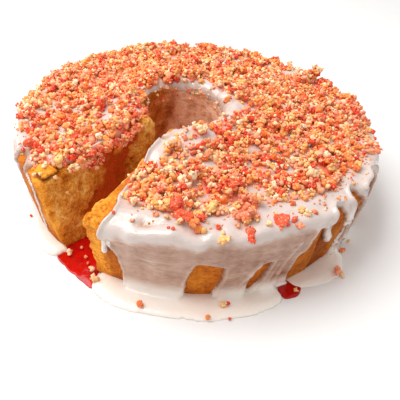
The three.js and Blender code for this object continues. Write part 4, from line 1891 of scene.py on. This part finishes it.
    def _fallen(self, marks: Sequence[Landmark]) -> tuple[Array, Array, Array]:
        """Lays crumbs at the cake's foot.

        Args:
            marks: The fallen crumbs.

        Returns:
            Their middles, radii and kinds as numbers.
        """
        places, radii, kinds = self._marked(marks)
        places[:, 2] = [self.heights.below(x, y, self.pool_clearance) for x, y, _ in places] + 0.75 * radii
        return places, radii, kinds

    @staticmethod
    def _marked(marks: Sequence[Landmark]) -> tuple[Array, Array, Array]:
        """Reads crumbs that stand out.

        Args:
            marks: The crumbs.

        Returns:
            Their places on the ground, radii and kinds as numbers.
        """
        azimuth, distance, radii = np.array([(mark.azimuth, mark.distance, mark.radius) for mark in marks]).T
        kinds = [finish.kind for finish in CRUMB_FINISHES]
        numbers = np.array([kinds.index(mark.kind) for mark in marks])
        return round_the_axis(azimuth, distance, 0.0 * distance), radii, numbers

    def _dropped(self, flat: Array, radii: Array, sink: float) -> Array:
        """Lands crumbs at places along X and Y, one after the other."""
        return np.array([self.heights.drop(place[None], radius, sink) for place, radius in zip(flat, radii)])

    def _kinds(self, places: Array) -> Array:
        """Picks the crumbs' kinds, with more of some kinds in some places.

        Args:
            places: The crumbs' places along X and Y.

        Returns:
            Their kinds as numbers.
        """
        level = np.column_stack([places, np.zeros(len(places))])
        shares = [
            finish.share * (1.0 + 0.95 * self.patches.at(level + 40.0 * i, 20.0))
            for i, finish in enumerate(CRUMB_FINISHES)
        ]
        heaped = np.cumsum(shares, axis=0) / np.sum(shares, axis=0)
        return np.sum(self.chance.uniform(0.0, 1.0, len(places)) > heaped, axis=0)

    def _tones(self, kinds: Array) -> Array:
        """Picks each crumb's colour between two of its kind's.

        Args:
            kinds: The crumbs' kinds as numbers.

        Returns:
            A colour for each.
        """
        tones = np.empty((len(kinds), 3))
        for kind, finish in enumerate(CRUMB_FINISHES):
            chosen = kinds == kind
            pairs = self.chance.integers(len(finish.screen_tones), size=(chosen.sum(), 2))
            tones[chosen] = finish.tones()[pairs].mean(axis=1)
        return np.clip(tones * self.chance.uniform(*self.tone_range, (len(kinds), 1)), 0.0, 1.0)

    def _mixed(self, tones: Array) -> Array:
        """Gives some grains the colour of another kind of crumb."""
        others = self._tones(self.chance.integers(len(CRUMB_FINISHES), size=len(tones)))
        return np.where(self.chance.uniform(0.0, 1.0, (len(tones), 1)) < self.mixing, others, tones)

    def _scattered(self, count: int) -> Array:
        """Picks where crumbs fall.

        Args:
            count: How many there are.

        Returns:
            Their places along X and Y.
        """
        found = np.empty((0, 2))
        while len(found) < count:
            tries = self.chance.uniform(-125.0, 125.0, (4 * count, 2))
            kept = tries[self.chance.uniform(0.0, 1.0, len(tries)) < self._wanted(tries)]
            found = np.concatenate([found, kept])
        return found[:count]

    def _wanted(self, places: Array) -> Array:
        """Finds how likely a crumb is to lie at each place.

        Args:
            places: Places along X and Y.

        Returns:
            The likelihood at each.
        """
        x, y = places.T
        azimuth, radius = azimuth_of(x, y), np.hypot(x, y)
        level = np.stack([x, y, 0.0 * x + 55.0], axis=1)
        limit = looked_up(self.limits, azimuth) + 2.5 * self.patches.at(level, 7.0)
        centre_x, centre_y = self.form.hole_centre
        from_hole = np.hypot(x - centre_x, y - centre_y)
        hole_azimuth = azimuth_of(x - centre_x, y - centre_y)
        rim = looked_up(self.rims, hole_azimuth) + 1.5 * self.patches.at(level + 20.0, 6.0)
        beyond = self.strays * smooth_rise(122.0, 119.0, radius)
        wanted = np.maximum(smooth_rise(3.0, -1.5, radius - limit), beyond)
        on_rim = np.where(rim < self.narrow_rim, *self.rim_strays) * self.strays
        on_rim = on_rim * (from_hole > self.rim_edge)
        wanted = wanted * np.maximum(smooth_rise(-2.0, 2.0, from_hole - rim), on_rim)
        far, near = self.form.behind_cut(level)
        by_far = far - 0.75 * looked_up(Icing.far_setbacks, y)
        by_near = near - looked_up(self.near_clear, y)
        by_gap = np.maximum(smooth_rise(-2.0, 1.0, by_far), smooth_rise(-1.5, 1.5, by_near))
        wanted = wanted * np.where(y < self.form.gap_inner_y, by_gap, 1.0)
        wanted = wanted * (0.72 + 0.5 * self.patches.at(level + 80.0, 9.0))
        for at, distance, size in self.clear_spots:
            spot = round_the_axis(np.array(at), np.array(distance), np.array(0.0))
            wanted = wanted * (1.0 - 0.9 * np.exp(-(((x - spot[0]) ** 2 + (y - spot[1]) ** 2) / size**2)))
        return wanted

    def _clusters(self, places: Array, radii: Array, kinds: Array) -> Lumps:
        """Makes each large crumb of several lumps.

        Args:
            places: The middles of the crumbs.
            radii: Their radii.
            kinds: Their kinds as numbers.

        Returns:
            The lumps.
        """
        each = np.clip(np.rint(radii**2 / self.lump_share), *self.lumps_in_cluster).astype(int)
        wide = np.repeat(radii, each)
        spread = np.clip(self.chance.normal(0.0, 0.3, (len(wide), 3)), -0.5, 0.5) * (1.0, 1.0, 0.75)
        sizes = self.chance.uniform(0.38, 0.6, len(wide)) * wide
        sizes = np.minimum(sizes, self.chance.uniform(1.1, 2.1, len(wide)))
        whole = self._tones(kinds)
        tones = np.repeat(whole, each, axis=0) * self.chance.uniform(0.88, 1.08, (len(wide), 1))
        middles = np.repeat(places, each, axis=0) + spread * wide[:, None]
        lumps = Lumps(middles, sizes, np.repeat(kinds, each), np.clip(tones, 0.0, 1.0))
        ways = self.chance.normal(size=middles.shape)
        ways /= np.linalg.norm(ways, axis=1)[:, None]
        grains = np.minimum(self.chance.uniform(0.3, 0.5, len(wide)) * sizes, self.finest)
        ends = middles + ways * (0.85 * sizes)[:, None]
        stuck = Lumps(ends, grains, lumps.kinds, self._mixed(lumps.tones))
        cores = Lumps(places, np.minimum(0.76 * radii, self.largest_core), kinds, whole)
        return Lumps.joined([cores, lumps, stuck])

    def _shapes(self, subdivisions: int) -> list[tuple[Array, Array]]:
        """Makes the broken lumps that crumbs are copies of.

        Args:
            subdivisions: How finely they are divided.

        Returns:
            Each lump's vertices, and the corners of its triangles.
        """
        shapes = []
        for _ in range(self.shapes):
            ball = {"subdivisions": subdivisions, "radius": 1.0}
            lump = Bench.start("lump", bpy.ops.mesh.primitive_ico_sphere_add, **ball)
            points = Bench.places(lump) * MM
            faces = np.empty(len(lump.data.polygons) * 3, int)
            lump.data.polygons.foreach_get("vertices", faces)
            points = points * (1.0 + self.chance.uniform(-0.18, 0.18, (len(points), 1)))
            for _ in range(8):
                way = self.chance.normal(size=3)
                way /= np.linalg.norm(way)
                over = np.maximum(points @ way - self.chance.uniform(0.4, 0.78), 0.0)
                points = points - over[:, None] * way
            points = points * self.chance.uniform(0.84, 1.3, 3)
            shapes.append((points, faces.reshape(-1, 3)))
            bpy.data.objects.remove(lump)
        return shapes

    def _join(self, lumps: Lumps, finish: CrumbFinish) -> None:
        """Makes one piece of all crumbs of a kind.

        Args:
            lumps: The crumbs' lumps.
            finish: Their finish.
        """
        vertices, faces, tones, count = [], [], [], 0
        turns = np.linalg.qr(self.chance.normal(size=(len(lumps.radii), 3, 3)))[0]
        turns[:, :, 0] *= np.sign(np.linalg.det(turns))[:, None]
        choice = self.chance.integers(self.shapes, size=len(lumps.radii))
        for subdivisions, sized in ((2, lumps.radii > self.finest), (1, lumps.radii <= self.finest)):
            for number, (points, corners) in enumerate(self._shapes(subdivisions)):
                chosen = np.flatnonzero(sized & (choice == number))
                turned = np.einsum("nij,vj->nvi", turns[chosen], points) * lumps.radii[chosen, None, None]
                vertices.append((turned + lumps.places[chosen, None]).reshape(-1, 3))
                first = count + len(points) * np.arange(len(chosen))
                faces.append((corners[None] + first[:, None, None]).reshape(-1, 3))
                # painted shade: each lump's underside is tinted darker and warmer, where the crumbs shade
                # one another
                low = smooth_rise(0.1, -0.75, turned[:, :, 2] / lumps.radii[chosen, None])[:, :, None]
                shaded = lumps.tones[chosen, None] * (1.0 - low * (1.0 - np.array(self.shade)))
                tones.append(shaded.reshape(-1, 3))
                count += len(points) * len(chosen)
        mesh = bpy.data.meshes.new(finish.kind.value)
        places = np.concatenate(vertices)
        places[:, 2] = np.maximum(places[:, 2], 0.0)
        mesh.from_pydata((places * MM).tolist(), [], np.concatenate(faces).tolist(), shade_flat=False)
        tone = np.column_stack([np.concatenate(tones), np.ones(count)])
        mesh.attributes.new("tone", "FLOAT_COLOR", "POINT").data.foreach_set("color", tone.ravel())
        piece = bpy.data.objects.new(finish.kind.value, mesh)
        bpy.context.collection.objects.link(piece)
        Bench.hand_over(piece, finish.material(), "icing")


@dataclass(frozen=True)
class SauceFinish:
    """Red fruit sauce, wet and glossy."""

    deep: Colour = from_screen(176, 8, 10)
    bright: Colour = from_screen(200, 9, 7)

    def material(self) -> bpy.types.Material:
        """Makes the material.

        Returns:
            The finish's material.
        """
        graph = Graph("fruit_sauce")
        clouds = graph.noise(7.0, 3.0)
        graph.set(
            Base_Color=graph.ramp(clouds, [(0.35, self.deep), (0.65, self.bright)]),
            Roughness=0.08 + clouds * 0.1,
            Specular_IOR_Level=0.3,
            Subsurface_Weight=0.15,
            Subsurface_Radius=(1.0, 0.1, 0.05),
            Subsurface_Scale=0.003,
            Coat_Weight=0.15,
            Coat_Roughness=0.05,
        )
        graph.bump(graph.noise(3.0, 2.0), 0.4, 0.4)
        return graph.material


SAUCE_IN_GAP = (
    (264.6, 117.5), (265.1, 121.5), (269.5, 122.6), (274.2, 123.8), (278, 125.4), (281.3, 127),
    (281.5, 122.5), (279.4, 117), (278.2, 110), (277.4, 95), (276, 82), (269, 78), (264.3, 84.4),
    (263.8, 95.6), (263.4, 105.7), (263.2, 113),
)

SAUCE_AT_FOOT = (
    (339, 114.2), (340.8, 117), (341.4, 120.5), (340.9, 123.5), (339.7, 125.7), (336.5, 127.3),
    (334.5, 126.2), (334.2, 120), (336, 115.5),
)


@dataclass
class Sauce:
    """A patch of sauce: its outline as azimuths and distances from the axis, and its thickness."""

    name: str
    node: str
    outline: tuple[tuple[float, float], ...]
    thickness: float = 1.3
    finish: SauceFinish = SauceFinish()

    def build(self) -> Piece:
        """Spreads the sauce.

        Returns:
            The patch.
        """
        ball = {"segments": 96, "ring_count": 40, "radius": 1.0}
        piece = Bench.start(self.name, bpy.ops.mesh.primitive_uv_sphere_add, **ball)
        unit = Bench.places(piece) * MM
        bearing, share = azimuth_of(unit[:, 0], unit[:, 1]), from_axis(unit)
        azimuth, distance = np.array(self.outline, float).T
        corners = round_the_axis(azimuth, distance, 0.0 * distance)[:, :2]
        middle = corners.mean(axis=0)
        across, along = (corners - middle).T
        reach = np.interp(bearing, azimuth_of(across, along), np.hypot(across, along), period=360.0)
        x = middle[0] + share * reach * np.cos(np.radians(bearing))
        y = middle[1] + share * reach * np.sin(np.radians(bearing))
        places = np.stack([x, y, 0.0 * x], axis=1)
        uneven = 1.0 + 0.3 * SmoothNoise(31).at(places, 6.0)
        places[:, 2] = np.maximum(unit[:, 2], 0.0) ** 0.6 * self.thickness * uneven
        Bench.move(piece, places)
        Bench.smooth(piece)
        Bench.hand_over(piece, self.finish.material(), "sauce", [self.node])
        return piece


@dataclass
class Stage:
    """The floor, the light and the camera, with lengths in metres and angles in degrees."""

    floor_size: float = 8.0
    floor_drop: float = 0.0002
    daylight: float = 0.66
    sensor: float = 36.0
    lens: float = 47.54
    shift: tuple[float, float] = (0.0178, -0.0538)
    camera_place: tuple[float, float, float] = (0.1910, -0.2571, 0.2396)
    camera_roll: float = 4.1

    def build(self) -> None:
        """Sets the stage."""
        self._floor()
        self._light()
        self._camera()

    def _floor(self) -> None:
        """Lays a plain pale floor."""
        sheet = {"size": self.floor_size, "location": (0.0, 0.0, -self.floor_drop)}
        floor = Bench.start("floor", bpy.ops.mesh.primitive_plane_add, **sheet)
        graph = Graph("pale_floor")
        graph.set(Base_Color=from_screen(246, 245, 244), Roughness=0.6)
        floor.data.materials.append(graph.material)

    def _light(self) -> None:
        """Hangs a large soft lamp on the camera's left, a small one for shine, and fills the rest softly."""
        world = bpy.data.worlds.new("studio")
        world.use_nodes = True
        background = world.node_tree.nodes["Background"]
        background.inputs["Color"].default_value = (1.0, 0.98, 0.96, 1.0)
        background.inputs["Strength"].default_value = self.daylight
        bpy.context.scene.world = world
        self._lamp("key_light", (-0.42, -0.22, 0.8), 0.8, 9.0)
        self._lamp("shine", (-0.1, -0.25, 0.85), 0.14, 0.6)

    @staticmethod
    def _lamp(name: str, place: tuple[float, float, float], size: float, power: float) -> None:
        """Hangs a square lamp that faces the cake.

        Args:
            name: The lamp's name.
            place: Where it hangs, in metres.
            size: Its side in metres.
            power: Its power in watts.
        """
        lamp = bpy.data.lights.new(name, "AREA")
        lamp.size = size
        lamp.energy = power
        holder = bpy.data.objects.new(name, lamp)
        holder.location = place
        holder.rotation_euler = (-Vector(place)).to_track_quat("-Z", "Y").to_euler()
        bpy.context.collection.objects.link(holder)

    def _camera(self) -> None:
        """Puts the camera where the photograph was taken from."""
        lens = bpy.data.cameras.new("camera")
        lens.sensor_width = self.sensor
        lens.lens = self.lens
        lens.shift_x, lens.shift_y = self.shift
        camera = bpy.data.objects.new("camera", lens)
        place = Vector(self.camera_place)
        facing = (-place).to_track_quat("-Z", "Y").to_matrix()
        rolled = facing @ Matrix.Rotation(math.radians(self.camera_roll), 3, "Z")
        camera.matrix_world = Matrix.Translation(place) @ rolled.to_4x4()
        bpy.context.collection.objects.link(camera)
        bpy.context.scene.camera = camera
        bpy.context.scene.view_settings.view_transform = "Standard"


def main() -> None:
    """Builds the cake's pieces in order and sets the stage."""
    logging.basicConfig(level=logging.INFO, format="%(message)s")
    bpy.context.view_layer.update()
    form = CakeForm()
    cake = CakeBody(form).build()
    icing = Icing(form).build(cake)
    in_gap = Sauce("sauce_slick", "sauce_in_gap", SAUCE_IN_GAP).build()
    at_foot = Sauce("sauce_spot", "sauce_at_foot", SAUCE_AT_FOOT).build()
    Topping(form).build(icing, [cake, icing, in_gap, at_foot])
    Stage().build()


if __name__ == "__main__":
    main()
